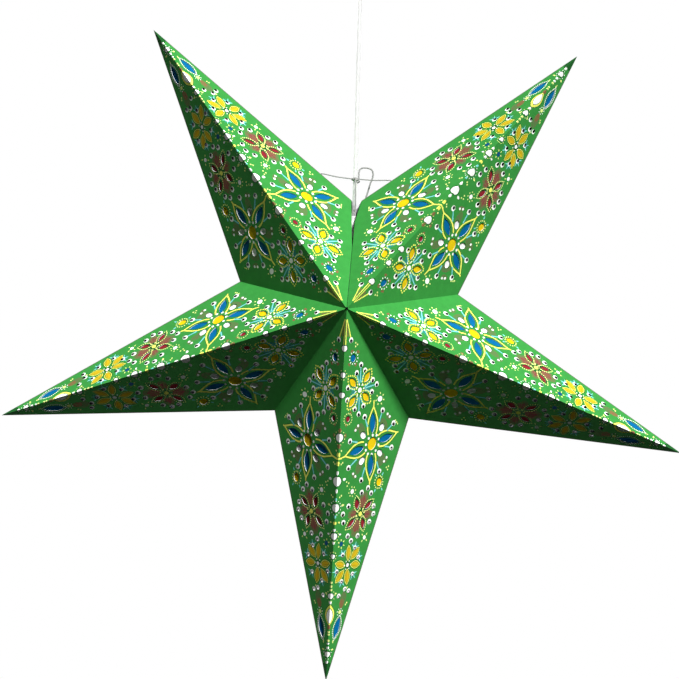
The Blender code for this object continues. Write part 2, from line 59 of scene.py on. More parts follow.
# The two corners at the open seam, by how far each lies to the right of the middle
SEAM_CORNERS = {("top_right", "ccw"): 0.0066, ("top_left", "cw"): -0.0025}
SEAM_RISE = 0.0075
SEAM_GAP = 0.0002
SEAM_CLOSED_SHARES = {
    ("front", "cw"): 0.56,
    ("front", "ccw"): 0.81,
    ("back", "cw"): 0.94,
    ("back", "ccw"): 0.94,
}
TISSUE = 0.00012
TISSUE_GAP = 0.0002
# The width of the strip of painted shade along the outer crease, and how far it runs on past the
# panel
CREASE_SHADE_WIDTH = 0.0008
EDGE_OVERRUN = 0.004
SMALL_HOLE = 0.003
# How near places are welded into one, in millimetres
WELD = 1e-4
APEX = {
    "front": CENTRE + Vector((0, -HALF_DEPTH, 0)),
    "back": CENTRE + Vector((0, HALF_DEPTH, 0)),
}

# How the card's edges are finished: its outer face runs on to the ridge's mitre and is rounded
# off at the outer crease, and no panel quite touches the next
RIDGE_MITRE = 0.00042
EDGE_ROUND = 0.00022
PANEL_GAP = 0.00002
GRID_STEP = 0.0095
GRID_MARGIN = 0.004
RIM_REACH = 0.000004
RIM_SLACK = 0.001
HOLE_MARGIN = 0.0002
CARD_SHARP = 35.0
# How far a sheet stands off its plane at most, the range of shares of that for each layer, the
# share that ripples, and the ripples' scale
BULGE = 0.0004
BULGE_SHARES = {"front": (-0.7, 0.8), "back": (0.4, 0.8)}
RIPPLE_SHARE = 0.5
RIPPLE_SCALE = 28.0
DRIFT = 50.0

# The cable and the strings
CABLE_DIAMETER = 0.0036
CABLE_SIDES = 20
SEAT_GAP = 0.0003
SHEATH_SCATTER = 0.02
ROUTE_PIECES = 12
CABLE_ROUTE = (
    (0.006, 0, -0.2882), (0.006, 0, -0.278), (0.006, 0, -0.265), (0.0055, 0, -0.245),
    (0.0046, 0, -0.215), (0.0034, 0, -0.18), (0.0022, 0, -0.145), (0.0011, 0, -0.11),
    (0.0003, 0, -0.082), (0, 0, -0.06), (0, 0, -0.0521),
)
STRING_DIAMETER = 0.0012
STRING_SIDES = 12
STRING_PIECES = 14
STRANDS = 3
STRAND_PITCH = 0.0032
STRAND_LAY = 0.12
TUBE_SHARP = 60.0
STRING_SAG = 0.0005
STRING_FROM_CORNER_LEFT = 0.0355
STRING_FROM_CORNER_RIGHT = 0.0315
STRING_BEHIND = 0.0065
KNOT_RADIUS = 0.0009
KNOT_ABOVE_CORNER = 0.0196
KNOT_CENTRE = CENTRE + Vector((0, 0, NOTCH_RADIUS + SEAM_RISE + KNOT_ABOVE_CORNER))
KNOT_HOLE = CABLE_DIAMETER / 2 + SEAT_GAP
KNOT_TURNS = 3.3
KNOT_STEPS = 100
KNOT_HEIGHT = 0.0024
KNOT_CROSSING = 0.68
TAIL_SPREAD = 0.0021
STRAIGHT_TAIL = 0.031
ARCHED_TAIL_DIAMETER = 0.0016
ARCHED_TAIL = (
    (0.0028, 0.0043, 0.0002), (0.0029, 0.0044, 0.004), (0.003, 0.0045, 0.0078),
    (0.0043, 0.0047, 0.0104), (0.007, 0.0049, 0.0114), (0.011, 0.0052, 0.0113),
    (0.0142, 0.0056, 0.0099), (0.0155, 0.006, 0.0065), (0.015, 0.0066, 0.0022),
    (0.0135, 0.0072, -0.0022), (0.0121, 0.0082, -0.0081), (0.0103, 0.0094, -0.015),
    (0.0094, 0.0102, -0.0186),
)

# The turned fittings, with corners of radius, depth and fillet in millimetres
MILLI = 1000.0
TURNED_STEPS = 96
FILLET_ROWS = 5
FITTING_SHARP = 38.0
PLATE_BEVEL = 0.0004
PLATE_RINGS = ((0, 0, 36.5), (-25, 0, 2.1), (25, 0, 2.1), (0, 16, 6))
CEILING_CUP = ((38.5, 0, 0.4), (38.5, 13.3, 5), (16, 38, 2.5), (4.5, 38, 0.3),
               (4.5, 36.5, 0.3), (14.5, 36.5, 1.5), (37, 13.3, 4.5), (37, 0, 0.4))
CEILING_GRIP = ((0, 0, 0), (7.5, 0, 0.4), (7.5, 2, 0.3), (4.2, 2, 0),
                (4.2, 4.1, 0), (6.5, 4.1, 0.5), (6.5, 8, 1.5), (3.2, 17.1, 0.8),
                (0, 17.1, 0))
TERMINAL_WIDE = 0.3
TERMINAL_WEB = 0.55
TERMINAL_BEVEL = 0.0006
BEVEL_STEPS = 2
SCREW_STEPS = 24
SCREW_HEAD = 0.0005
SCREW_RADIUS = 0.0017
HOLDER_GRIP = ((0, 0, 0), (3.4, 0, 0.8), (3.4, 4.9, 2), (8.5, 14, 1.2),
               (0, 14, 0))
HOLDER_SHELL = ((0, 0, 0), (9.5, 0, 1.2), (14, 6, 2.4), (14, 10, 0),
                (14, 10.8, 0), (14, 30, 0), (14, 30.8, 0), (14, 33, 0.2),
                (13.5, 33.4, 0.1), (13.5, 34, 0.1), (14, 34.4, 0.2), (14, 45, 0.6),
                (12.6, 45, 0.5), (12.6, 7.4, 1), (8.1, 1.4, 1), (0, 1.4, 0))
HOLDER_CORE = ((0, 0, 0), (12.3, 0, 0.6), (12.3, 11, 0.6), (0, 11, 0))
HOLDER_CONTACT = ((0, 0, 0), (2.4, 0, 0.3), (2.4, 2, 0.7), (0, 2, 0))
RIBS = 24
RIB_STEPS = 144
RIB_DEPTH = 0.0006
RIB_RADIUS = 0.0139
RIB_TOP = 0.0105
RIB_BOTTOM = 0.0303
THREAD_PITCH = 0.0028
THREAD_DEPTH = 0.0004
THREAD_TOP = 0.0036
THREAD_BOTTOM = 0.0165
THREAD_ROWS = 10
THREAD_STEPS = 48
SLEEVE_RADIUS = 0.0079
SLEEVE_SHEET = 0.0003
SLEEVE_THREAD = 0.45
SLEEVE_LENGTH = 0.024
BULB_TIP = ((0, 0, 0), (2.3, 0, 1.3), (2.3, 1.5, 0), (0, 1.5, 0))
BULB_CAP_TOP = ((0, 0, 0), (4.5, 0, 0.5), (6.3, 2.6, 0.3), (6.4, 2.9, 0))
BULB_CAP_END = ((6.9, 17.2, 0), (6.9, 20, 0.2), (6.5, 20, 0.1), (6.2, 17, 0.5),
                (6.2, 3.4, 0.2), (0, 3.4, 0))
CAP_RADIUS = 0.0069
CAP_INSULATOR = 0.0026
BULB_NECK = 0.0061
BULB_RADIUS = 0.0132
BULB_WALL = 0.0007
BULB_FLARE = 0.009
BULB_MIDDLE = 0.0338
BULB_ROWS = 20
LEAD_DIAMETER = 0.0004
LEAD_SIDES = 12
LEAD_PIECES = 8
LEAD_WIRE = ((2.2, 0.2), (2.2, 12), (2.2, 27), (3.2, 31), (5, 33.9))
FILAMENT = ((4.95, 33.7), (2.6, 32), (0, 30.1))
FILAMENT_PIECES = 60
COIL_TURNS = 24
COIL_SIDES = 6
COIL_RADIUS = 0.0003
COIL_WIRE = 0.00014

# The camera, at the photograph's viewing angle
CAMERA_PLACE = (0.02666, -2.20451, -0.64547)
CAMERA_TURN = (96.3838, -3.3671, 0.3085)
CAMERA_LENS = 132.82
SENSOR = 36.0

# The floor under the lantern
FLOOR_HEIGHT = -1.2
FLOOR_SIDE = 3.0
FLOOR_FADE_START = 1.0
FLOOR_POINTS = 64
FLOOR_COLOUR = (0.86, 0.86, 0.86)
FLOOR_ROUGHNESS = 0.9
FLOOR_DIM = (0.01, 0.01, 0.01, 1)

# Colours of the inks with their roughness, and of the tissues
INKS = {
    "green": ((0.035, 0.243, 0.043), 0.5),
    # deep: dark green for the print's outlines, and painted shade round the windows and at the
    # tips
    "deep": ((0.009, 0.087, 0.015), 0.5),
    # edge: painted shade for the strip along the outer crease, where the rounded card turns from
    # the light
    "edge": ((0.087, 0.113, 0.067), 0.6),
    "white": ((0.93, 0.95, 0.9), 0.55),
    "yellow": ((0.84, 0.88, 0.15), 0.5),
    "lime": ((0.78, 0.88, 0.29), 0.5),
    "cyan": ((0.21, 0.66, 0.6), 0.5),
    "teal": ((0.028, 0.215, 0.173), 0.5),
    "navy": ((0.0055, 0.062, 0.165), 0.5),
    "gold": ((0.6, 0.425, 0.013), 0.5),
    "amber": ((0.44, 0.3, 0.014), 0.5),
    # shade: near-black painted shade round the punched holes and on the walls of small holes, so
    # that they read dark
    "shade": ((0.007, 0.011, 0.007), 0.6),
}
# Inks laid thinly, so that the green shows through in spots, with their share of it
WASHES = {
    "brown": ((0.145, 0.112, 0.068), 0.5),
    "clay": ((0.25, 0.08, 0.053), 0.66),
    "maroon": ((0.227, 0.04, 0.053), 0.84),
}
TISSUES = {
    "blue": (0.0008, 0.12, 0.295),
    "yellow": (0.7, 0.5, 0.007),
    "white": (0.86, 0.85, 0.86),
    "red": (0.23, 0.017, 0.024),
}

# The light: each sun's direction, strength and width in degrees, and what the room adds
SUNS = {
    "key": ((0.305, -0.715, 0.629), 6.8, 9),
    "back": ((-0.35, 0.88, 0.33), 3.75, 10),
}
BACKDROP_COLOUR = (1, 1, 1, 1)
ROOM_COLOUR = (0.93, 0.96, 1, 1)
ROOM_LIGHT = 0.012

# What each kind of surface is like: its shine and how metallic it is, the spread, scale and
# detail of its colour, how far its roughness falls and rises and in patches of which scale, and
# its bump's scale, depth, strength and detail, with the noise's stretch where it has one
INK_SHINE = 0.06
PLAIN_SHINE = 0.5
KINDS = {
    "ink": (INK_SHINE, 0, (0.05, 140, 3), (0.06, 0.08, 60), (900, 0.00005, 0.5, 4)),
    "wash": (INK_SHINE, 0, (0, 1500, 3), (0.07, 0.09, 60), (900, 0.00005, 0.5, 4)),
    "tissue": (INK_SHINE, 0, (0.1, 90, 5), (0.1, 0.15, 200), (260, 0.0002, 0.6, 6)),
    "card": (PLAIN_SHINE, 0, (0.03, 220, 3), (0.08, 0.08, 150),
             (1200, 0.00004, 0.6, 4)),
    "plastic": (PLAIN_SHINE, 0, (0.015, 60, 3), (0.05, 0.08, 90),
                (1500, 0.00002, 0.3, 4)),
    "metal": (PLAIN_SHINE, 1, (0.06, 300, 3), (0.06, 0.12, 400),
              (1800, 0.00003, 0.4, 2, (1, 1, 12))),
    "cotton": (PLAIN_SHINE, 0, (0.12, 1500, 3), (0.08, 0.07, 700),
               (5000, 0.00005, 0.8, 6)),
}
NOISE_RANGE = (0.35, 0.65)
PATCH_DETAIL = 2.0
WASH_ROUGHNESS = 0.55
WASH_REACH = 0.4
WASH_SIDES = (-0.16, 0.14)
GLASS_COLOUR = (0.97, 0.98, 0.97)
GLASS_ROUGHNESS = 0.03
GLASS_IOR = 1.45
GLASS_WAVES = (40, 0.00002, 0.4, 4)
# The other materials: kind, colour and roughness
LOOKS = {
    "card_inside": ("card", (0.66, 0.67, 0.74), 0.8),
    "card_core": ("card", (0.8, 0.81, 0.8), 0.8),
    "cable_sheath": ("plastic", (0.6, 0.6, 0.59), 0.3),
    "white_plastic": ("plastic", (0.6, 0.6, 0.59), 0.32),
    "holder_core": ("plastic", (0.55, 0.54, 0.5), 0.45),
    "cap_insulator": ("plastic", (0.015, 0.015, 0.018), 0.22),
    "cotton": ("cotton", (0.3, 0.3, 0.295), 0.9),
    "brass": ("metal", (0.72, 0.55, 0.25), 0.3),
    "tin": ("metal", (0.62, 0.62, 0.6), 0.35),
}
TISSUE_ROUGHNESS = 0.65


# The camera and light

def make_camera():
    data = bpy.data.cameras.new("camera")
    data.lens = CAMERA_LENS
    data.sensor_width = SENSOR
    camera = add_object("camera", data)
    camera.location = CAMERA_PLACE
    camera.rotation_euler = [math.radians(angle) for angle in CAMERA_TURN]
    bpy.context.scene.camera = camera


def make_sun(name, towards, strength, angle):
    data = bpy.data.lights.new(name, "SUN")
    data.energy = strength
    data.angle = math.radians(angle)
    sun = add_object(name, data)
    sun.rotation_euler = Vector(towards).to_track_quat("Z", "Y").to_euler()


def set_inputs(node, inputs):
    """Each input is set to its value, or joined to a socket or to a node's first output."""
    for name, value in inputs.items():
        if isinstance(value, bpy.types.Node):
            value = value.outputs[0]
        if isinstance(value, bpy.types.NodeSocket):
            node.id_data.links.new(value, node.inputs[name])
        else:
            node.inputs[name].default_value = value


def add_node(tree, kind, inputs, operation=None):
    node = tree.nodes.new(f"ShaderNode{kind}")
    if operation:
        node.operation = operation
    set_inputs(node, inputs)
    return node


def seen_directly(tree):
    """A value of 1 for camera, glossy and transmission rays, and 0 for the rest."""
    path = add_node(tree, "LightPath", {})
    total = path.outputs["Is Camera Ray"]
    for ray in ("Is Glossy Ray", "Is Transmission Ray"):
        total = add_node(tree, "Math", {0: total, 1: path.outputs[ray]}, "MAXIMUM")
    return total


def make_world():
    world = bpy.data.worlds.new("studio")
    world.use_nodes = True
    tree = world.node_tree
    backdrop = tree.nodes["Background"]
    set_inputs(backdrop, {"Color": BACKDROP_COLOUR, "Strength": 1.0})
    room = add_node(tree, "Background", {"Color": ROOM_COLOUR, "Strength": ROOM_LIGHT})
    mix = add_node(tree, "MixShader", {"Fac": seen_directly(tree), 1: room, 2: backdrop})
    set_inputs(tree.nodes["World Output"], {"Surface": mix})
    bpy.context.scene.world = world


# Materials

def new_material(name, colour, roughness, metallic=0):
    material = bpy.data.materials.new(name)
    material.use_nodes = True
    shader = material.node_tree.nodes["Principled BSDF"]
    set_inputs(shader, {"Base Color": (*colour, 1), "Roughness": roughness,
                        "Metallic": metallic})
    return material, shader


def noise_node(tree, scale, detail, stretch=(1, 1, 1)):
    place = add_node(tree, "TexCoord", {}).outputs["Object"]
    mapping = add_node(tree, "Mapping", {"Vector": place, "Scale": stretch})
    return add_node(tree, "TexNoise", {"Vector": mapping, "Scale": scale, "Detail": detail})


def add_bump(shader, scale, depth, strength, *pattern):
    height = noise_node(shader.id_data, scale, *pattern)
    bump = add_node(shader.id_data, "Bump",
                    {"Height": height, "Strength": strength, "Distance": depth})
    set_inputs(shader, {"Normal": bump})


def make_material(name, kind, colour, roughness, shades=None, places=NOISE_RANGE):
    """A material with its kind's uneven colour, roughness and height. Its colour goes from one
    shade to the other between two places in the noise's range."""
    shine, metallic, (spread, scale, detail), (less, more, patches), bump = KINDS[kind]
    material, shader = new_material(name, colour, roughness, metallic)
    tree = material.node_tree
    if shades is None:
        shades = [[tone * part for part in colour] for tone in (1.0 - spread, 1.0 + spread)]
    ramp = add_node(tree, "ValToRGB", {"Fac": noise_node(tree, scale, detail)})
    for element, shade, place in zip(ramp.color_ramp.elements, shades, places):
        element.color = (*(min(1, part) for part in shade), 1)
        element.position = place
    rough = add_node(tree, "MapRange", {"Value": noise_node(tree, patches, PATCH_DETAIL),
                                        "To Min": roughness - less, "To Max": roughness + more})
    set_inputs(shader, {"Base Color": ramp, "Roughness": rough, "Specular IOR Level": shine})
    add_bump(shader, *bump)
    return material


def wash_material(name, colour, share):
    """A thin wash of ink, in spots that take up a share of the green."""
    middle = 0.5 - WASH_REACH * (share - 0.5)
    return make_material(f"wash_{name}", "wash", colour, WASH_ROUGHNESS,
                         (INKS["green"][0], colour), [middle + side for side in WASH_SIDES])


def glass_material():
    material, shader = new_material("clear_glass", GLASS_COLOUR, GLASS_ROUGHNESS)
    set_inputs(shader, {"Transmission Weight": 1, "IOR": GLASS_IOR})
    add_bump(shader, *GLASS_WAVES)
    return material


# Places on the star

def around(radius, azimuth):
    return CENTRE + radius * Vector((math.cos(azimuth), 0, math.sin(azimuth)))


def arm_azimuth(arm):
    even = FIRST_AZIMUTH + ARM_STEP * ARM_NAMES.index(arm)
    return even + math.radians(ARM_SPLAY_DEGREES[arm])


def corner_azimuth(arm, side):
    """Half way between an arm and its neighbour on one side."""
    step = 1 if side == "ccw" else -1
    place = ARM_NAMES.index(arm)
    neighbour = ARM_NAMES[(place + step) % len(ARM_NAMES)]
    splay = math.radians(ARM_SPLAY_DEGREES[arm] + ARM_SPLAY_DEGREES[neighbour]) / 2
    return FIRST_AZIMUTH + ARM_STEP * (place + step / 2) + splay


def tip(arm):
    return around(TIP_RADIUS, arm_azimuth(arm))


def corner(arm, side):
    if (arm, side) in SEAM_CORNERS:
        return CENTRE + Vector((SEAM_CORNERS[arm, side], 0, NOTCH_RADIUS + SEAM_RISE))
    return around(NOTCH_RADIUS, corner_azimuth(arm, side))


class Facet:
    """One flat triangle of the star, with its own axes: x along the ridge, y to the corner."""

    def __init__(self, arm, layer, side):
        self.arm = arm
        self.layer = layer
        self.side = side
        self.apex = APEX[layer]
        self.tip = tip(arm)
        self.corner = corner(arm, side)
        ridge = self.tip - self.apex
        slant = self.corner - self.apex
        self.length = ridge.length
        along = ridge.normalized()
        across = slant - slant.dot(along) * along
        self.height = across.length
        across.normalize()
        self.corner_x = slant.dot(along)
        normal = along.cross(across)
        self.outward = 1.0 if normal.dot(self.apex - CENTRE) > 0.0 else -1.0
        self.normal = normal * self.outward
        self.matrix = Matrix.Translation(self.apex) @ Matrix(
            (along, across, normal)
        ).transposed().to_4x4()

    def outline(self, from_ridge, from_valley, from_edge):
        apex = Vector((0, 0))
        tip_2d = Vector((self.length, 0))
        corner_2d = Vector((self.corner_x, self.height))
        lines = (
            inset_line(apex, tip_2d, from_ridge),
            inset_line(tip_2d, corner_2d, from_edge),
            inset_line(corner_2d, apex, from_valley),
        )
        return [cross_point(lines[i - 1], lines[i]) for i in range(len(lines))]


def inset_line(start, end, inset):
    way = (end - start).normalized()
    return start + inset * Vector((-way.y, way.x)), way


def cross_point(line, other):
    (p, u), (q, v) = line, other
    gap = q - p
    return p + u * ((gap.x * v.y - gap.y * v.x) / (u.x * v.y - u.y * v.x))


def mitre(facet, other):
    """How far two panels stop short of the crease between them, so that their thickness clears."""
    return CARD * math.tan(facet.normal.angle(other.normal) / 2)


def valley_mitre():
    return mitre(Facet("bottom", "front", "ccw"), Facet("right", "front", "cw"))


def seam_line(facet, apex, ridge):
    """The way of the line where the seam's two panels would meet, in one panel's own plane, and
    the place where that panel's edge along it begins."""
    arm, side = next(key for key in SEAM_CORNERS if key != (facet.arm, facet.side))
    other = Facet(arm, facet.layer, side)
    line = facet.normal.cross(other.normal).normalized()
    if line.z < 0.0:
        line = -line
    way = (facet.matrix.to_3x3().inverted() @ line).to_2d()
    edge = inset_line(way, Vector((0, 0)), SEAM_GAP + mitre(facet, other))
    return way, cross_point((apex, ridge), edge)


# The print, in millimetres on a panel of this size
PRINT_RIDGE = 328.8
PRINT_HEIGHT = 88.6
WINDOW_SHADE_RIM = 0.5
HEAD = 4.7
HEAD_EDGE = 0.4
HEAD_HOLE = 2.4
# The dot of painted shade round a head's hole: how much wider than the hole, and how far both are
# set off the head's middle
HEAD_SHADE = 0.9
HEAD_OFF = (0.8, 0.1)
# A pin's head, and the width, ink and end width of each layer of its stem
PIN_HEAD = 4.9
PIN_STEMS = ((2.6, "teal", 1.6), (1.3, "cyan", 0.8))
BEAD_RIM = (1.7, 1.9)
BURST_STEPS = (-64, -32, 0, 32, 64)
BURST_REACH = 5.4
BURST_WIDTHS = (2.2, 0.5)
DOT_TURN = 20.0
SMALL_SIDES = 6
LENS_STEPS = 12
STROKE_PIECES = 3


class Sheet:
    """What is printed and cut on a panel, in the order in which it is laid on."""

    def __init__(self, length, height):
        self.unit = length / PRINT_RIDGE
        self.lift = height / PRINT_HEIGHT
        self.motifs = []
        self.windows = []

    def at(self, x, y):
        return Vector((x * self.unit, y * self.lift))

    def add(self, points, ink):
        area = sum(a.x * b.y - b.x * a.y for a, b in zip(points, points[1:] + points[:1]))
        self.motifs.append((points if area > 0.0 else points[::-1], ink))

    def lay(self, marks):
        """Draw rows of a method's name and its values."""
        for method, *values in marks:
            getattr(self, method)(*values)

    def pointed(self, x, y, length, width, turn, ink, steps=6):
        self.add(pointed_places(self.at(x, y), length * self.unit, width * self.unit, turn, steps),
                 ink)

    def oval(self, x, y, length, width, turn, ink, sides=12):
        self.add(oval_places(self.at(x, y), length * self.unit, width * self.unit, turn, sides),
                 ink)

    def dot(self, x, y, size, ink, sides=7):
        self.oval(x, y, size, size, DOT_TURN, ink, sides)

    def stroke(self, points, width, ink, end_width):
        """A line with its own width through the points, changed to end_width at its end."""
        places = [self.at(*point) for point in points]
        if len(places) > 2:
            places = smooth_curve(places, STROKE_PIECES)
        left, right = [], []
        for i, place in enumerate(places):
            way = (places[min(i + 1, len(places) - 1)] - places[max(i - 1, 0)]).normalized()
            share = i / (len(places) - 1)
            half = (width + (end_width - width) * share) / 2 * self.unit
            side = half * Vector((-way.y, way.x))
            left.append(place + side)
            right.append(place - side)
        self.add(right + left[::-1], ink)

    def ring(self, x, y, radius, count, size, ink, first=0, long=None):
        """Dots, or dashes that point at the middle, spread round a circle."""
        for i in range(count):
            turn = first + 360.0 * i / count
            self.oval(*off(x, y, turn, radius), long or size, size, turn, ink, SMALL_SIDES)

    def dotted_lens(self, x, y, length, width, turn, size, count, ink):
        """Dots along a pointed outline."""
        loop = pointed_places(self.at(x, y), length * self.unit, width * self.unit, turn,
                              LENS_STEPS)
        walk = [0]
        closed = loop + loop[:1]
        for a, b in zip(closed, closed[1:]):
            walk.append(walk[-1] + (b - a).length)
        for i in range(count):
            goal = walk[-1] * i / count
            k = max(j for j in range(len(loop)) if walk[j] <= goal)
            share = (goal - walk[k]) / (walk[k + 1] - walk[k])
            spot = closed[k].lerp(closed[k + 1], share)
            self.add(oval_places(spot, size * self.unit, size * self.unit, 0, SMALL_SIDES), ink)

    def pin(self, head, base, size=PIN_HEAD):
        """A thin stem from base to a white head with a hole punched off its middle."""
        for width, ink, end_width in PIN_STEMS:
            self.stroke([base, head], width, ink, end_width)
        self.head(*head, size)

    def head(self, x, y, size=HEAD):
        # A white head with a near-black dot of painted shade round its hole, set off to one side
        # so that the head shows as a crescent
        self.dot(x, y, size + HEAD_EDGE, "white", 9)
        for hole, ink in ((HEAD_HOLE + HEAD_SHADE, "shade"), (HEAD_HOLE, "cut")):
            self.dot(x + HEAD_OFF[0], y + HEAD_OFF[1], hole, ink, 8)

    def bead(self, x, y, length, width, ink):
        """A bead with a dark rim."""
        self.oval(x, y, length + BEAD_RIM[0], width + BEAD_RIM[1], 0, "deep")
        self.oval(x, y, length, width, 0, ink)

    def burst(self, x, y, turn):
        """A fan of short spikes behind a head, opening towards turn."""
        for step, ink in zip(BURST_STEPS, ("cyan", "teal") * len(BURST_STEPS)):
            end = off(x, y, turn + step, BURST_REACH)
            self.stroke([(x, y), end], BURST_WIDTHS[0], ink, BURST_WIDTHS[1])

    def window(self, row, draw, steps, rims, patch_steps, patch_shares):
        """A window with a rim of painted shade round its cut, standing for the shadow of its
        recess, and the patch of tissue that backs it.
        """
        x_share, y_share, *shares, turn, tissue = row
        length = self.unit * PRINT_RIDGE
        middle = Vector((x_share * length, y_share * self.lift * PRINT_HEIGHT))
        size = [share * length for share in shares]
        shade_rim_size = [a + b * WINDOW_SHADE_RIM * self.unit for a, b in zip(size, rims)]
        self.add(draw(middle, *shade_rim_size, turn, steps), "deep")
        self.add(draw(middle, *size, turn, steps), "cut")
        patch = [a * b for a, b in zip(size, patch_shares)]
        self.windows.append((draw(middle, *patch, turn, patch_steps), tissue))


def off(x, y, turn, reach):
    """The place that lies some way off from another, in a direction in degrees."""
    angle = math.radians(turn)
    return x + reach * math.cos(angle), y + reach * math.sin(angle)


def turned_axes(turn):
    angle = math.radians(turn)
    along = Vector((math.cos(angle), math.sin(angle)))
    return along, Vector((-along.y, along.x))


def pointed_places(middle, length, width, turn, steps):
    along, across = turned_axes(turn)
    places = []
    for side in (1, -1):
        for i in range(steps):
            share = i / steps
            step = (share - 0.5) * length
            bulge = 2 * share * (1.0 - share) * width
            places.append(middle + side * (step * along - bulge * across))
    return places


def oval_places(middle, length, width, turn, sides):
    along, across = turned_axes(turn)
    return [
        middle + length / 2 * math.cos(math.tau * i / sides) * along
        + width / 2 * math.sin(math.tau * i / sides) * across
        for i in range(sides)
    ]


def smooth_curve(points, pieces):
    """Points on the smooth curve through the given ones, with so many pieces to a stretch."""
    ends = [points[0], *points, points[-1]]
    places = [points[0].copy()]
    for i in range(len(points) - 1):
        a, b, c, d = ends[i:i + 4]
        for j in range(1, pieces + 1):
            t = j / pieces
            places.append(0.5 * (2 * b + (c - a) * t + (2 * a - 5 * b + 4 * c - d) * t**2
                                 + (3 * b - a - 3 * c + d) * t**3))
    return places


# The windows, as in the part's own source, with the tissue that backs each
PETAL_WINDOWS = (
    (0.316, 0.463, 0.057, 0.0215, 2, "blue"),
    (0.43, 0.465, 0.056, 0.0215, -2, "blue"),
    (0.363, 0.663, 0.056, 0.02, 101, "blue"),
    (0.384, 0.252, 0.056, 0.0205, 102, "blue"),
    (0.189, 0.343, 0.034, 0.0185, -37, "yellow"),
    (0.242, 0.339, 0.034, 0.0185, 48, "yellow"),
    (0.198, 0.141, 0.034, 0.0185, 45, "yellow"),
    (0.25, 0.146, 0.034, 0.0185, -40, "yellow"),
    (0.539, 0.466, 0.031, 0.013, -57, "red"),
    (0.586, 0.4, 0.028, 0.0145, 10, "red"),
    (0.53, 0.301, 0.029, 0.017, 12, "red"),
    (0.579, 0.23, 0.033, 0.013, -54, "red"),
    (0.86, 0.112, 0.06, 0.0195, -17, "blue"),
)
OVAL_WINDOWS = (
    (0.372, 0.468, 0.036, 0.031, -40, "yellow"),
    (0.332, 0.597, 0.022, 0.0175, -35, "white"),
    (0.401, 0.588, 0.022, 0.017, 50, "white"),
    (0.345, 0.332, 0.022, 0.018, 55, "white"),
    (0.414, 0.332, 0.024, 0.0175, -50, "white"),
    (0.133, 0.128, 0.0215, 0.018, 0, "blue"),
    (0.294, 0.1, 0.016, 0.0145, 0, "red"),
    (0.481, 0.608, 0.0235, 0.0205, 0, "yellow"),
)

# One side of a tulip outline, from its open base to its tip, in its own axes
TULIP_SIDE = ((-9.8, 4.9), (-4.5, 6.3), (2.5, 5.9), (9, 3.2), (14.8, 0))
# Middle, turn and length of stem of each tulip round the blue flower
TULIPS = ((104.2, 41, 180, 5.9), (141.2, 41.2, 0, 2.9), (119, 58.9, 101.5, 2),
          (126.4, 22.4, 282, 5.5))
FLOWER_PINS = (
    ((93.8, 52.9), (103.8, 49.2)), ((97.1, 30), (106.7, 34.6)), ((107.1, 68.3), (112.9, 60)),
    ((128.8, 67.5), (126.7, 58.3)), ((148.3, 52.9), (139.2, 48.8)), ((153.3, 30), (142.5, 33.8)),
    ((140.4, 12.9), (133.8, 22.9)), ((116.7, 12.9), (118.8, 22.5)),
)
FLOWER_DOTS = ((115.4, 46.8), (119.2, 50), (124.3, 50), (129.2, 46.8), (131.7, 41.8),
               (130.8, 36.9), (127.3, 33.8), (122.3, 33.6), (117.1, 36.9), (114.8, 41.9))
DOT_PAIRS = ((97.9, 59.8), (100.6, 62.7), (104.2, 22.3), (107.8, 19.2), (137.1, 61.7),
             (140.2, 58.6), (149, 22.3), (146.3, 19.2))
# Thin washes beside the white ovals: middle, length, width, turn
BROWN_WASHES = ((107, 55.5, 14, 8.5, 35), (109, 27.5, 15, 8, 25),
                (138.5, 54.5, 13, 8.5, -35), (140.5, 26.5, 15, 8, -25),
                (100.5, 61, 8, 5, 60), (106.5, 20.5, 8, 4.5, -50),
                (139.5, 60.5, 7, 4.5, -60), (148, 20.5, 8, 4.5, 50),
                (257, 15.8, 12, 8, -12))
CLAY_SPOTS = ((38.6, 16.9, 4.2, 2.6, 60), (49.6, 14.8, 4, 2.6, -60),
              (37.6, 9.3, 4, 2.6, -60), (49, 6.8, 4, 2.6, 60),
              (91.4, 11.8, 3.6, 2.2, 30), (102, 6.6, 3.6, 2.2, 30),
              (111, 6.6, 3.6, 3.2, 10), (261.8, 14, 9, 6, -10))
TINY_DOTS = ((32.1, 15.6), (30.6, 13.4), (33.7, 13.4), (145.5, 65), (148.4, 64),
             (146.2, 62.2), (154, 14.3), (156.4, 12.6), (152.6, 11.6), (104.8, 70.6),
             (106.6, 72.4), (108.2, 73.6), (134.8, 5.4), (136, 3.6), (164, 6),
             (165.2, 4), (187.9, 5.4), (248, 20), (263.5, 19.2), (262, 20.6))
STAR_PINS = (
    ((69.6, 43.3), (71.5, 28.3)), ((65.2, 37.8), (70.2, 28)), ((75.8, 37.5), (73.2, 28)),
    ((50.4, 21.7), (66, 21.7)), ((55.8, 27.1), (66, 23.2)), ((57.1, 16.7), (66.2, 20.2)),
    ((93.8, 22.1), (79.2, 21.7)), ((87.1, 27.5), (79, 23.2)), ((88.8, 16.7), (79, 20.2)),
    ((69.2, 6.7), (72, 15.6)), ((80, 6.7), (74.6, 15.6)),
)
RED_HEADS = ((166.8, 44.1), (179.2, 48.5), (186.1, 48.7), (192.6, 43.9), (203.1, 29.6),
             (206.4, 21.4), (201.5, 16.8), (188.5, 10.4), (181, 9.3), (174.8, 15.8),
             (164.6, 31.7), (161.6, 39.6))
# Streaked lobes between the red petals: direction, reach and spread
RED_LOBES = ((82, 16, 26), (-23, 21, 20), (-94, 16, 26), (164, 20.5, 20))
SUN_PETALS = ((228.8, 28.6, 11.4, 8.2, 85), (238.4, 19, 13.4, 8.2, 2),
              (236.6, 9.6, 13.8, 7.8, -45), (226, 9.4, 12.4, 8, 72),
              (217, 19.2, 13, 7.6, 0), (218.6, 27.6, 13, 8, -48))
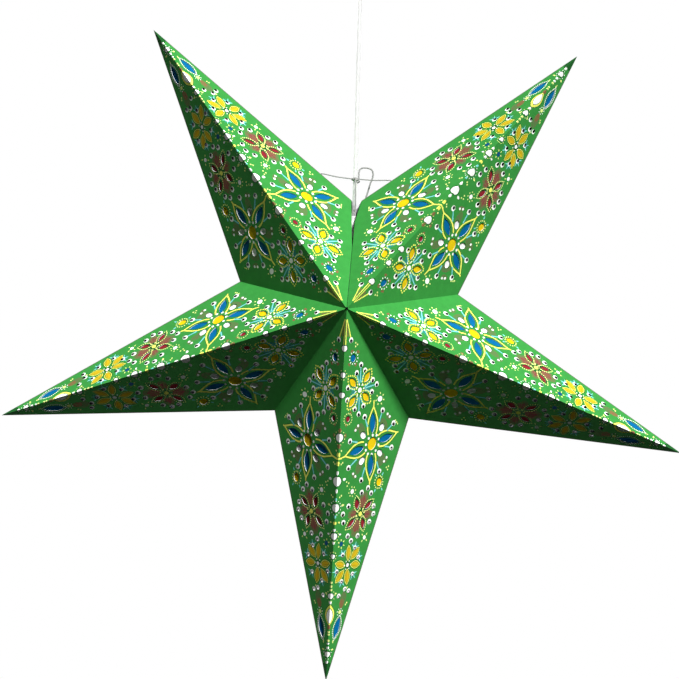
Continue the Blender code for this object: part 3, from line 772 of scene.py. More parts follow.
# Heads between the petals, each with the direction of the burst behind it
SUN_HEADS = ((213.4, 27, 165), (217.8, 12, 205), (231.8, 5.6, 270), (241.6, 12.4, -25),
             (236.9, 25.9, 40), (222.9, 32.2, 100))
# White beads along the ridge: place, height off the ridge, length and width
RIDGE_BEADS = (
    (34.4, 0.3, 5, 5.4), (57.6, 0, 4.7, 5), (75.2, 0.6, 4.6, 5.2), (112.5, 0, 7.4, 8.2),
    (151, 0, 8.4, 9.2), (174.4, 0, 7.2, 8.2), (199.6, 0, 5.8, 7.2), (217.5, 0, 3.8, 4.6),
    (253, 0, 4.8, 6), (305.4, 0, 4.8, 6),
)
# Small plain spots along the ridge: place, height off the ridge, length, width and ink
RIDGE_SPOTS = (
    (106, 0, 4.4, 3.4, "clay"), (120, 0, 4.4, 3.4, "clay"),
    (124, 2.8, 1.8, 1.8, "lime"), (127.4, 0.6, 4.2, 2.4, "yellow"),
    (135.2, 0.3, 4.2, 2.4, "yellow"), (143.4, 0, 3.8, 2.4, "white"),
    (149.8, 8.6, 2.6, 3.6, "white"), (159.4, 0, 3.8, 2.4, "white"),
    (166.6, 0, 2.4, 2.2, "cyan"), (182.2, 0, 2.8, 2.2, "cyan"),
    (172.8, 8.4, 2, 3.4, "lime"), (187.9, 0.5, 2.8, 2.8, "yellow"),
    (187.7, 4.8, 1.4, 2.2, "yellow"), (194, 0.3, 2.6, 2.2, "white"),
    (205.4, 0, 2.6, 2.2, "white"), (198.6, 7, 1.8, 2.8, "white"),
    (240.8, 0.3, 2.2, 1.8, "lime"), (244.2, 0.3, 2.4, 1.8, "lime"),
    (247.4, 0.3, 2, 1.8, "lime"), (251.4, 5.8, 1.6, 2.4, "lime"),
    (258.8, 0.3, 2.6, 2.2, "white"), (280.8, 0, 4.4, 3.4, "clay"),
    (285.2, 0.3, 1.8, 1.8, "lime"), (287.4, 0.3, 1.8, 1.8, "lime"),
    (293, 0.3, 2, 2, "lime"), (295.6, 0.3, 1.8, 2, "white"),
    (299.4, 0.3, 2.4, 2.2, "white"), (301.8, 5.4, 1.6, 3, "lime"),
    (312.4, 0.3, 2.8, 1.8, "white"), (294.6, 5.6, 3.4, 1.2, "lime"),
)
# Marks in the order in which they are laid: the Sheet method that draws one, and its values
CENTRE_MARKS = (
    ("stroke", ((9.2, 0.7), (24.4, 3.2)), 0.7, "clay", 1.3),
    ("stroke", ((9, 0.9), (26, 6.9)), 0.8, "yellow", 1.3),
    ("stroke", ((9.4, 0.5), (32.4, 0.8)), 0.7, "yellow", 1.2),
    ("head", 27.7, 7.4),
    ("ring", 43.8, 11.9, 5.2, 11, 1.2, "white", 20, 1.7),
    ("ring", 96.9, 8.9, 5, 14, 1.3, "lime"),
)
RED_MIDDLE = (183.8, 31.5)
RED_MIDDLE_MARKS = (
    ("dot", *RED_MIDDLE, 4.4, "yellow", 9),
    ("ring", *RED_MIDDLE, 4.9, 8, 1.2, "lime", 8, 2.2),
)
RED_SIDE_MARKS = (
    ("dot", 207.5, 9.3, 4.4, "navy", 9),
    ("ring", 207.5, 9.3, 3.6, 6, 1.2, "lime", 5, 2),
)
STAR_MARKS = (
    ("dot", 72.7, 21.7, 4.8, "white", 10),
    ("ring", 72.7, 21.7, 5.2, 8, 1.4, "white", 12, 2.6),
)
RING_FLOWER_MARKS = (
    ("ring", 158.3, 53.3, 5.5, 14, 1.3, "lime", 10, 1.8),
    ("ring", 83.2, 48.6, 5, 7, 1.4, "lime", 25, 2),
    ("oval", 83.2, 48.6, 5, 6, 0, "white", 10),
)
SMALL_FLOWER_MARKS = (
    ("dot", 162.1, 19.4, 4.4, "white", 9),
    ("ring", 162.1, 19.4, 4.2, 8, 1.2, "lime", 10, 1.5),
    ("dot", 205.9, 38.6, 3.8, "white", 9),
    ("ring", 205.9, 38.6, 4, 4, 1.2, "lime", 45, 2.4),
)
SUN_MARKS = (
    ("dot", 227.8, 18.8, 6.4, "deep", 9),
    ("dot", 227.8, 18.8, 3.6, "white", 9),
    ("ring", 227.8, 18.8, 3.9, 6, 1.3, "white", 30),
)
TIP_MARKS = (
    ("head", 251.6, 22.2, 4.2),
    ("head", 249.3, 17.1, 4.2),
    ("head", 254.3, 9.7, 4.2),
    ("dot", 269.2, 12.4, 3.6, "lime", 9),
    ("ring", 269.2, 12.4, 3.2, 7, 1.2, "white"),
    ("dotted_lens", 282.8, 9.9, 22.6, 9.6, -17, 1.2, 30, "white"),
    # A patch of painted shade in deep ink at the tip, where the folded card darkens
    ("pointed", 322, 0, 22, 16, 0, "deep", 5),
    ("pointed", 270, 0, 20, 12.4, 0, "deep", 7),
    ("pointed", 270, 0, 18.6, 11, 0, "yellow", 7),
    ("pointed", 270.6, 0, 14.4, 8, 0, "deep", 7),
    ("pointed", 270.8, 0, 13.2, 7, 0, "white", 7),
)
RIDGE_STROKE = ((130.7, 4), (130.9, -1))
RIDGE_STROKE_WIDTH = 1.6
# Rings round the ridge's beads: place, radius, number and ink
RIDGE_RINGS = (
    (112.5, 6.2, 12, "lime"), (174.4, 6.2, 13, "white"), (199.6, 5.2, 11, "lime"),
    (217.5, 3.9, 9, "lime"), (253, 4.8, 9, "lime"), (57.6, 4.2, 8, "lime"),
    (305.4, 4.4, 8, "white"),
)
# The layers of a tulip: ink, then the widths of its lines and of its stalk, at start and end
TULIP_LAYERS = (("deep", 2.9, 2.5, 2.8, 2), ("yellow", 1.6, 1.5, 1.7, 1.3))
TULIP_LAP = 1.0
# The star flower's pins by the part of the flower that they fan out from
STAR_FANS = (slice(0, 3), slice(3, 6), slice(6, 9), slice(9, 11))
FAN_SHARE = 0.65
FAN_WIDTHS = (4.6, 2)
STAR_LENS = (17, 10.6)
STAR_LENS_DOTS = (1.7, 17)
STAR_PIN_HEAD = 4.7
# The spokes of a small flower: its middle, their directions and where they begin and end
SPOKES_MIDDLE = (158.3, 53.3)
SPOKE_TURNS = (35, 145, 215, 325)
SPOKE_ENDS = ((7.2, 6.8), (9.8, 9.2))
SPOKE_WIDTHS = (1.6, 1)
# The layers of a red lobe, by the shares of its reach: middle, length, width and ink
LOBE_SHARES = ((0.62, 0.8, 0.62, "brown"), (0.48, 0.66, 0.42, "maroon"))
# The streaks of a lobe: their number, where they begin, and by which shares of its reach the
# outer ones and every second one are shorter
STREAKS = 7
STREAK_START = 5.0
STREAK_SHARES = (0.25, 0.12)
STREAK_WIDTHS = (1.1, 0.5)
RED_DISC = 12.0
RED_RIM = (5, 6.6)
RED_LENS = (6, 7.8)
RED_LENS_DOTS = (1.4, 18)
# The layers of a sun petal: what they add to its length and width, and ink
SUN_LAYERS = ((3, 0.6, "deep"), (1.6, -0.8, "yellow"), (-0.2, -2.2, "deep"),
              (-1.4, -3.2, "gold"))
SUN_VEIN = 0.8
SUN_VEIN_SHARE = 0.7
SUN_HEAD = 4.0
SMALL_DOT = 2.6
TINY_DOT = 1.7
RIDGE_DOT = 1.1
RIDGE_TURN = 15.0
# The steps of a window's outline, what its rim of painted shade adds to its length and width, and
# the steps of the tissue's outline and its shares of that length and width
PETAL_WINDOW = (7, (3, 2), 5, (1.18, 1.4))
OVAL_WINDOW = (16, (2, 2), 12, (1.25, 1.25))


def print_blue_flower(sheet):
    for x, y, turn, stem in TULIPS:
        along, across = turned_axes(turn)
        reach = TULIP_SIDE[-1][0]
        lines = [[(x + a * along.x + side * b * across.x, y + a * along.y + side * b * across.y)
                  for a, b in TULIP_SIDE] for side in (1, -1)]
        stalk = [off(x, y, turn, reach - TULIP_LAP), off(x, y, turn, reach + stem)]
        for ink, width, end_width, stalk_width, stalk_end in TULIP_LAYERS:
            for line in lines:
                sheet.stroke(line, width, ink, end_width)
            sheet.stroke(stalk, stalk_width, ink, stalk_end)
    for head, base in FLOWER_PINS:
        sheet.pin(head, base)
    for place in FLOWER_DOTS + DOT_PAIRS:
        sheet.dot(*place, SMALL_DOT, "white")


def print_star_flower(sheet):
    for fan in STAR_FANS:
        foot = STAR_PINS[fan][0][1]
        for head, _ in STAR_PINS[fan]:
            end = [a + FAN_SHARE * (b - a) for a, b in zip(foot, head)]
            sheet.stroke([foot, end], FAN_WIDTHS[0], "teal", FAN_WIDTHS[1])
    for head, base in STAR_PINS:
        sheet.pin(head, base, STAR_PIN_HEAD)
    for x_share, y_share, _, _, turn, _ in PETAL_WINDOWS[4:8]:
        sheet.dotted_lens(x_share * PRINT_RIDGE, y_share * PRINT_HEIGHT, *STAR_LENS, turn,
                          *STAR_LENS_DOTS, "yellow")
    sheet.lay(STAR_MARKS)


def print_small_flowers(sheet):
    sheet.lay(RING_FLOWER_MARKS)
    x, y = SPOKES_MIDDLE
    for turn in SPOKE_TURNS:
        way, _ = turned_axes(turn)
        sheet.stroke([(x + a * way.x, y + b * way.y) for a, b in SPOKE_ENDS], SPOKE_WIDTHS[0],
                     "cyan", SPOKE_WIDTHS[1])
    sheet.lay(SMALL_FLOWER_MARKS)


def print_red_flower(sheet):
    for turn, reach, spread in RED_LOBES:
        for place, long, wide, ink in LOBE_SHARES:
            sheet.pointed(*off(*RED_MIDDLE, turn, place * reach), long * reach, wide * reach, turn,
                          ink)
        for i in range(STREAKS):
            share = 2.0 * i / (STREAKS - 1) - 1.0
            far = reach * (1.0 - STREAK_SHARES[0] * share**2 - STREAK_SHARES[1] * (i % 2))
            ends = [off(*RED_MIDDLE, turn + share * spread, step) for step in (STREAK_START, far)]
            sheet.stroke(ends, STREAK_WIDTHS[0], "maroon" if i % 2 else "clay", STREAK_WIDTHS[1])
    sheet.dot(*RED_MIDDLE, RED_DISC, "deep", 12)
    for x_share, y_share, length_share, _, turn, _ in PETAL_WINDOWS[8:12]:
        middle = (x_share * PRINT_RIDGE, y_share * PRINT_HEIGHT)
        long = length_share * PRINT_RIDGE
        sheet.pointed(*middle, long + RED_RIM[0], RED_RIM[1], turn, "deep")
        sheet.dotted_lens(*middle, long + RED_LENS[0], RED_LENS[1], turn, *RED_LENS_DOTS, "lime")
    sheet.lay(RED_MIDDLE_MARKS)
    for place in RED_HEADS:
        sheet.head(*place)
    sheet.lay(RED_SIDE_MARKS)


def print_sun_flower(sheet):
    for head in SUN_HEADS:
        sheet.burst(*head)
    for x, y, long, wide, turn in SUN_PETALS:
        for longer, wider, ink in SUN_LAYERS:
            sheet.pointed(x, y, long + longer, wide + wider, turn, ink)
        sheet.pointed(*off(x, y, turn - 90, SUN_VEIN), SUN_VEIN_SHARE * long, SUN_VEIN, turn,
                      "amber", 4)
    for x, y, _ in SUN_HEADS:
        sheet.head(x, y, SUN_HEAD)
    sheet.lay(SUN_MARKS)


def print_sheet(length, height):
    """The whole print of one panel, with the windows cut last."""
    sheet = Sheet(length, height)
    for row in BROWN_WASHES:
        sheet.oval(*row, "brown", 11)
    for row in CLAY_SPOTS:
        sheet.oval(*row, "clay", 8)
    sheet.lay(CENTRE_MARKS)
    print_red_flower(sheet)
    print_blue_flower(sheet)
    print_star_flower(sheet)
    print_small_flowers(sheet)
    print_sun_flower(sheet)
    sheet.lay(TIP_MARKS)
    sheet.stroke(RIDGE_STROKE, RIDGE_STROKE_WIDTH, "yellow", RIDGE_STROKE_WIDTH)
    for x, radius, count, ink in RIDGE_RINGS:
        sheet.ring(x, 0, radius, count, RIDGE_DOT, ink, RIDGE_TURN)
    for row in RIDGE_BEADS:
        sheet.bead(*row, "white")
    for x, y, long, wide, ink in RIDGE_SPOTS:
        sheet.oval(x, y, long, wide, 0, ink, 10)
    for place in TINY_DOTS:
        sheet.dot(*place, TINY_DOT, "lime", 6)
    for row in PETAL_WINDOWS:
        sheet.window(row, pointed_places, *PETAL_WINDOW)
    for row in OVAL_WINDOWS:
        sheet.window(row, oval_places, *OVAL_WINDOW)
    return sheet


# The printed card

def panel_outlines(facet):
    """Matching corners of the panel's outer and inner face, each in the panel's plane."""
    seam = (facet.arm, facet.side) in SEAM_CORNERS
    outlines = []
    for from_ridge, from_valley, from_edge in (
        (PANEL_GAP - RIDGE_MITRE, PANEL_GAP + valley_mitre(), EDGE_ROUND),
        (PANEL_GAP, PANEL_GAP, PANEL_GAP),
    ):
        if seam:
            from_valley = PANEL_GAP + valley_mitre()
        apex, tip_2d, corner_2d = facet.outline(from_ridge, from_valley, from_edge)
        ridge = (tip_2d - apex).normalized()
        begin, valley, closed = apex, (corner_2d - apex).normalized(), []
        if seam:
            valley, begin = seam_line(facet, apex, ridge)
            share = SEAM_CLOSED_SHARES[facet.layer, facet.side]
            closed = [begin + share * (facet.corner - facet.apex).length * valley]
        outlines.append([begin + APEX_HOLE * ridge, tip_2d, corner_2d, *closed,
                         begin + APEX_HOLE * valley])
    return outlines


def inside(point, outline, margin):
    """Whether a point lies within an outline whose corners run counterclockwise."""
    for a, b in zip(outline, outline[1:] + outline[:1]):
        way = (b - a).normalized()
        if way.x * (point.y - a.y) - way.y * (point.x - a.x) < margin:
            return False
    return True


def grid_points(outline):
    low_x, high_x = min(p.x for p in outline), max(p.x for p in outline)
    high_y = max(p.y for p in outline)
    points = []
    row = 0
    y = GRID_MARGIN
    while y < high_y:
        x = low_x + GRID_STEP / 2 * (row % 2)
        while x < high_x:
            point = Vector((x, y))
            if inside(point, outline, GRID_MARGIN):
                points.append(point)
            x += GRID_STEP
        y += GRID_STEP * math.sqrt(3) / 2
        row += 1
    return points


def triangulate(loops, loose):
    """Places and triangles of the loops' plane in metres, the loops that hold each triangle, and
    each loop as the numbers of its places."""
    points, faces = [], []
    for loop in loops:
        faces.append(list(range(len(points), len(points) + len(loop))))
        points.extend(MILLI * p for p in loop)
    points.extend(MILLI * p for p in loose)
    places, _, triangles, origins, _, holders = delaunay_2d_cdt(points, [], faces, 0, WELD, True)
    number = {i: n for n, origin in enumerate(origins) for i in origin}
    numbers = [[number[i] for i in face] for face in faces]
    return [p / MILLI for p in places], triangles, holders, numbers


def boundary_loops(triangles):
    """The boundary of a patch of triangles, as loops of places with the patch on their left."""
    edges = set()
    for triangle in triangles:
        for a, b in zip(triangle, triangle[1:] + triangle[:1]):
            if (b, a) in edges:
                edges.remove((b, a))
            else:
                edges.add((a, b))
    following = {}
    for a, b in edges:
        following.setdefault(a, []).append(b)
    loops = []
    while following:
        start = next(iter(following))
        loop = [start]
        while True:
            after = following[loop[-1]].pop()
            if not following[loop[-1]]:
                del following[loop[-1]]
            if after == start:
                break
            loop.append(after)
        loops.append(loop)
    return loops


def same_place_inside(point, outer, inner):
    """The inner face's point that matches a boundary point of the outer face."""
    for i in range(len(outer)):
        a, b = outer[i], outer[(i + 1) % len(outer)]
        run = b - a
        share = (point - a).dot(run) / run.length_squared
        near = (a + share * run - point).length < RIM_REACH
        if near and -RIM_SLACK <= share <= 1.0 + RIM_SLACK:
            return inner[i].lerp(inner[(i + 1) % len(inner)], min(1, max(0, share)))
    return point


def crease_shade_strip(outline):
    """The strip of painted shade along the outer crease, where the rounded card turns from the
    light, run on past the panel's outline.
    """
    tip_2d, corner_2d = outline[1], outline[2]
    way = (corner_2d - tip_2d).normalized()
    side = Vector((-way.y, way.x))
    begin, end = tip_2d - EDGE_OVERRUN * way, corner_2d + EDGE_OVERRUN * way
    return [begin - EDGE_OVERRUN * side, end - EDGE_OVERRUN * side, end + CREASE_SHADE_WIDTH * side,
            begin + CREASE_SHADE_WIDTH * side]


class PanelPattern:
    """The faces of a printed panel, flat, for every panel of one shape."""

    def __init__(self, facet):
        self.outer, self.inner = panel_outlines(facet)
        sheet = print_sheet(facet.length, facet.height)
        self.windows = sheet.windows
        # The second loop is the strip of painted shade along the outer crease
        loops = [self.outer, crease_shade_strip(self.outer)] + [points for points, _ in sheet.motifs]
        inks = ["green", "edge"] + [ink for _, ink in sheet.motifs]
        grid = grid_points(self.outer)
        self.places, triangles, holders, _ = triangulate(loops, grid)
        self.front = []
        for triangle, held in zip(triangles, holders):
            if 0 in held and inks[max(held)] != "cut":
                self.front.append((list(triangle), inks[max(held)]))
        rims = []
        for loop in boundary_loops([triangle for triangle, _ in self.front]):
            if len(loop) > 2:
                here = [self.places[i] for i in loop]
                matched = [same_place_inside(place, self.outer, self.inner) for place in here]
                edge = any((a - b).length > 0.0 for a, b in zip(here, matched))
                rims.append((edge, loop, matched if edge else matched[::-1]))
        rims.sort(key=lambda rim: not rim[0])
        solid = sum(edge for edge, _, _ in rims)
        outlines = [matched for _, _, matched in rims]
        inner_grid = [point for point in grid
                      if not any(inside(point, hole, -HOLE_MARGIN) for hole in outlines[solid:])]
        self.back_places, triangles, holders, numbers = triangulate(outlines, inner_grid)
        self.back = [list(triangle) for triangle, held in zip(triangles, holders)
                     if held and max(held) < solid]
        self.rims = [(loop, behind if edge else behind[::-1], edge)
                     for (edge, loop, _), behind in zip(rims, numbers)]


def bulge_of(facet, seed):
    """A function for how far the sheet stands off its plane at a place: most in the middle,
    where each of the triangle's three shares is a third, and nothing along its edges."""
    rng = random.Random(seed)
    height = BULGE * rng.uniform(*BULGE_SHARES[facet.layer])
    drift = Vector((rng.uniform(0, DRIFT), rng.uniform(0, DRIFT), 0))

    def bulge(place):
        up = place.y / facet.height
        along = (place.x - facet.corner_x * up) / facet.length
        cover = max(0, 3**3 * up * along * (1.0 - up - along))
        wave = noise.noise(RIPPLE_SCALE * place.to_3d() + drift)
        return cover * (height + RIPPLE_SHARE * BULGE * wave)

    return bulge


def add_object(name, data, matrix=None):
    obj = bpy.data.objects.new(name, data)
    if matrix is not None:
        obj.matrix_world = matrix
    bpy.context.scene.collection.objects.link(obj)
    return obj


def add_piece(name, body, node, mesh, sharp, matrix=None):
    """A piece of the lantern: the body that it rides on and the solid that it stands for. Its
    creases are sharp from an angle in degrees."""
    mesh.shade_smooth()
    mesh.set_sharp_from_angle(angle=math.radians(sharp))
    piece = add_object(name, mesh, matrix)
    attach(piece, body)
    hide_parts(node)
    return piece


def add_sheet(name, body, node, facet, places, faces, inks, materials):
    """A piece in a panel's own plane, with each face in its ink."""
    if facet.outward < 0.0:
        faces = [face[::-1] for face in faces]
    mesh = bpy.data.meshes.new(name)
    mesh.from_pydata(places, [], faces)
    used = sorted(set(inks))
    for ink in used:
        mesh.materials.append(materials[ink])
    mesh.polygons.foreach_set("material_index", [used.index(ink) for ink in inks])
    add_piece(name, body, node, mesh, CARD_SHARP, facet.matrix)


def build_card(name, body, pattern, facet, bulge, materials):
    places, faces, inks = [], [], []
    number, back_number = {}, {}

    def vertex(numbers, i, place, depth):
        if i not in numbers:
            numbers[i] = len(places)
            places.append((place.x, place.y, facet.outward * (depth + bulge(place))))
        return numbers[i]

    for triangle, ink in pattern.front:
        faces.append([vertex(number, i, pattern.places[i], CARD) for i in triangle])
        inks.append(ink)
    for triangle in pattern.back:
        faces.append([vertex(back_number, i, pattern.back_places[i], 0) for i in triangle][::-1])
        inks.append("inside")
    for loop, behind, edge in pattern.rims:
        rim = [pattern.back_places[i] for i in behind]
        # The walls of small holes are painted shade so that the holes read dark; larger windows
        # show the card's pale core
        small = max((place - rim[0]).length for place in rim) < SMALL_HOLE
        for i in range(len(loop)):
            j = (i + 1) % len(loop)
            quad = [number[loop[i]], back_number[behind[i]], back_number[behind[j]],
                    number[loop[j]]]
            faces.append([n for k, n in enumerate(quad) if n != quad[k - 1]])
            inks.append("green" if edge else "shade" if small else "core")
    add_sheet(f"{name}_printed_card", body, f"{name}_panel", facet, places, faces,
              inks, materials)


def build_tissue(name, body, pattern, facet, bulge, materials):
    """A thin patch glued behind each window."""
    places, faces, inks = [], [], []
    for outline, tissue in pattern.windows:
        base = len(places)
        count = len(outline)
        for depth in (TISSUE_GAP, TISSUE_GAP + TISSUE):
            for place in outline:
                places.append((place.x, place.y, facet.outward * (bulge(place) - depth)))
        faces.append([base + i for i in range(count)])
        faces.append([base + count + i for i in range(count)][::-1])
        for i in range(count):
            j = (i + 1) % count
            faces.append([base + i, base + count + i, base + count + j, base + j])
        inks.extend([tissue] * (count + 2))
    add_sheet(f"{name}_window_tissue", body, f"{name}_tissue", facet, places,
              faces, inks, materials)


def look(name):
    kind, *values = LOOKS[name]
    return make_material(name, kind, *values)


def build_star():
    inks = {name: make_material(f"ink_{name}", "ink", *values) for name, values in INKS.items()}
    inks.update({name: wash_material(name, *values) for name, values in WASHES.items()})
    inks["inside"] = look("card_inside")
    inks["core"] = look("card_core")
    tissues = {name: make_material(f"tissue_{name}", "tissue", colour, TISSUE_ROUGHNESS)
               for name, colour in TISSUES.items()}
    patterns = {}
    places = itertools.product(ARM_NAMES, APEX, ("cw", "ccw"))
    for seed, (arm, layer, side) in enumerate(places, 1):
        facet = Facet(arm, layer, side)
        key = (arm, side, layer if (arm, side) in SEAM_CORNERS else "both")
        if key not in patterns:
            patterns[key] = PanelPattern(facet)
        bulge = bulge_of(facet, seed)
        name = f"{arm}_arm_{layer}_{side}"
        body = f"{arm}_{layer}_{side}"
        build_card(name, body, patterns[key], facet, bulge, inks)
        build_tissue(name, body, patterns[key], facet, bulge, tissues)


# Cords

def swept_tube(name, path, diameter, material, sides, strands=0):
    """The mesh of a tube along a path, closed at both ends, with its surface laid up from strands
    where it has any."""
    places, faces = [], []
    up = Vector((0, 1, 0))
    ways = []
    for i in range(len(path)):
        ways.append((path[min(i + 1, len(path) - 1)] - path[max(i - 1, 0)]).normalized())
    if abs(ways[0].dot(up)) > 0.9:
        up = Vector((1, 0, 0))
    side = ways[0].cross(up).normalized()
    walked = 0.0
    for i, (place, way) in enumerate(zip(path, ways)):
        if i:
            walked += (place - path[i - 1]).length
            side = (side - side.dot(way) * way).normalized()
        other = way.cross(side)
        for j in range(sides):
            angle = math.tau * j / sides
            reach = diameter / 2
            if strands:
                wave = math.cos(strands * angle - math.tau * walked / STRAND_PITCH)
                reach *= 1.0 - STRAND_LAY + STRAND_LAY * wave
            places.append(place + reach * (math.cos(angle) * side + math.sin(angle) * other))
    for i in range(len(path) - 1):
        for j in range(sides):
            a, b = i * sides + j, i * sides + (j + 1) % sides
            faces.append([a, b, b + sides, a + sides])
    last = (len(path) - 1) * sides
    faces.append(list(range(sides))[::-1])
    faces.append([last + j for j in range(sides)])
    mesh = bpy.data.meshes.new(name)
    mesh.from_pydata(places, [], faces)
    mesh.materials.append(material)
    return mesh


def add_tube(name, body, node, slot, *tube):
    return add_piece(name, body, node, swept_tube(name, *tube), TUBE_SHARP)


def string_points(arm, side, from_corner, way):
    facet = Facet(arm, "back", side)
    start = corner(arm, side)
    crease = (tip(arm) - start).normalized()
    edge = start + from_corner * crease
    inward = crease.cross(facet.normal)
    if inward.dot(facet.apex - edge) < 0.0:
        inward = -inward
    away = Vector((0, 1, 0)).cross(crease)
    if away.z < 0.0:
        away = -away
    lift = CARD + SEAT_GAP + STRING_DIAMETER / 2
    end = KNOT_CENTRE + Vector((way * (KNOT_HOLE + KNOT_RADIUS), 0, 0))
    over = edge + lift * (facet.normal + away).normalized()
    middle = over.lerp(end, 0.5) - Vector((0, 0, STRING_SAG))
    behind = edge + lift * facet.normal
    return [behind + STRING_BEHIND * inward, behind + STRING_BEHIND / 2 * inward, over, middle,
            end]


def build_cable(pieces):
    path = smooth_curve([Vector(p) for p in CABLE_ROUTE], ROUTE_PIECES)
    sheath = look("cable_sheath")
    set_inputs(sheath.node_tree.nodes["Principled BSDF"],
               {"Subsurface Weight": 1, "Subsurface Radius": (1, 1, 1),
                "Subsurface Scale": SHEATH_SCATTER})
    cable = add_tube("power_cable_sheath", "lamp_drop", "power_cable", "cable_sheath", path,
                     CABLE_DIAMETER, sheath, CABLE_SIDES)


def build_strings():
    cotton = look("cotton")
    knot = build_knot(cotton)
    left = string_points("top_left", "cw", STRING_FROM_CORNER_LEFT, -1)
    right = string_points("top_right", "ccw", STRING_FROM_CORNER_RIGHT, 1)
    inside = KNOT_HOLE + KNOT_RADIUS
    front = KNOT_HOLE + 2 * KNOT_RADIUS + SEAT_GAP + STRING_DIAMETER / 2
    begin = KNOT_CENTRE - Vector((0, front, STRING_DIAMETER))
    end = begin + Vector((TAIL_SPREAD, 0, STRING_DIAMETER - STRAIGHT_TAIL))
    straight = [KNOT_CENTRE - Vector((0, inside, 0)), begin, begin.lerp(end, 0.5), end]
    arched = [KNOT_CENTRE + Vector(offset) for offset in ARCHED_TAIL]
    arched.insert(0, KNOT_CENTRE + inside * Vector(ARCHED_TAIL[0]).normalized())
    for name, points, diameter, body, far_end, lay, with_pieces in (
        ("tie_string_left", left, STRING_DIAMETER, "top_left_back_cw", "knot", "taut", [knot]),
        ("tie_string_right", right, STRING_DIAMETER, "top_right_back_ccw", "knot", "taut", ()),
        ("tie_tail_straight", straight, STRING_DIAMETER, "lamp_drop", "bare", "hanging", ()),
        ("tie_tail_arched", arched, ARCHED_TAIL_DIAMETER, "lamp_drop", "bare", "loose", ()),
    ):
        path = smooth_curve(points, STRING_PIECES)
        string = add_tube(f"{name}_twine", body, name, "cotton_string", path, diameter, cotton,
                          STRING_SIDES, STRANDS)


def build_knot(cotton):
    """Turns of the twine round the cable, with one that crosses over them."""
    path = []
    for i in range(KNOT_STEPS + 1):
        share = i / KNOT_STEPS
        angle = math.tau * KNOT_TURNS * share
        over = max(0, share - KNOT_CROSSING) / (1.0 - KNOT_CROSSING)
        radius = KNOT_HOLE + KNOT_RADIUS * (1.0 + over)
        height = KNOT_HEIGHT * (share - 0.5 - 2.0 * over * share)
        path.append(KNOT_CENTRE + Vector((radius * math.cos(angle), radius * math.sin(angle),
                                          height)))
    return add_tube("tie_knot_turns", "lamp_drop", "tie_knot", "cotton_string", path,
                    STRING_DIAMETER, cotton, STRING_SIDES, STRANDS)


def rounded(corners):
    """Rows of radius and depth in metres, from corners of radius, depth and fillet in mm."""
    rows = []
    for i, (radius, depth, fillet) in enumerate(corners):
        here = Vector((radius, depth)) / MILLI
        ends = []
        for other in (corners[i - 1], corners[(i + 1) % len(corners)]):
            way = (Vector(other[:2]) / MILLI - here).normalized()
            ends.append(here + fillet / MILLI * way)
        for k in range(FILLET_ROWS + 1 if fillet else 1):
            share = k / FILLET_ROWS
            rows.append(ends[0].lerp(here, share).lerp(here.lerp(ends[1], share), share))
    return rows


def node_box(node):
    """A node's lowest corner, highest corner and middle."""
    low, high = (Vector(place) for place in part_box(node))
    return low, high, (low + high) / 2


def add_turned(name, body, node, rows, looks, swell=None, joined=False,
               steps=TURNED_STEPS):
    """Rows of radius and depth turned round a node's middle, down from its top, in its place.
    Joined, the last row meets the first. Each look is a material and the depth that it ends at."""
    _, high, middle = node_box(node)
    bm = bmesh.new()
    loops = []
    for radius, depth in rows:
        loop = []
        for j in range(steps if radius > 0.0 else 1):
            angle = math.tau * j / steps
            reach = radius + (swell(angle, radius, depth) if swell else 0)
            loop.append(bm.verts.new((middle.x + reach * math.cos(angle),
                                      middle.y + reach * math.sin(angle), high.z - depth)))
        loops.append(loop)
    pairs = list(zip(loops, loops[1:]))
    if joined:
        pairs.append((loops[-1], loops[0]))
    for one, two in pairs:
        for j in range(steps if len(one) + len(two) > 2 else 0):
            quad = [one[j % len(one)], one[(j + 1) % steps % len(one)],
                    two[(j + 1) % steps % len(two)], two[j % len(two)]]
            face = bm.faces.new([v for n, v in enumerate(quad) if v is not quad[n - 1]])
            down = high.z - face.calc_center_median().z
            face.material_index = sum(down > limit for _, limit in looks[:-1])
    return add_fitting(name, body, node, bm, [material for material, _ in looks])


def add_fitting(name, body, node, bm, materials):
    bmesh.ops.recalc_face_normals(bm, faces=bm.faces)
    mesh = bpy.data.meshes.new(name)
    bm.to_mesh(mesh)
    bm.free()
    for material in materials:
        mesh.materials.append(material)
    return add_piece(name, body, node, mesh, FITTING_SHARP)


def ribs(angle, radius, depth):
    """The upright grooves of the lampholder's shell."""
    if radius < RIB_RADIUS or not RIB_TOP <= depth <= RIB_BOTTOM:
        return 0.0
    return -RIB_DEPTH * (1.0 + math.cos(RIBS * angle)) / 2


def thread(angle, _, depth):
    """The rolled thread of the bulb's cap and of the sleeve round it."""
    if not THREAD_TOP <= depth <= THREAD_BOTTOM:
        return 0.0
    return -THREAD_DEPTH * (1.0 + math.cos(angle - math.tau * depth / THREAD_PITCH)) / 2


def thread_rows(radius, top, bottom):
    count = int((bottom - top) / THREAD_PITCH * THREAD_ROWS)
    return [Vector((radius, top + (bottom - top) * i / count)) for i in range(count + 1)]


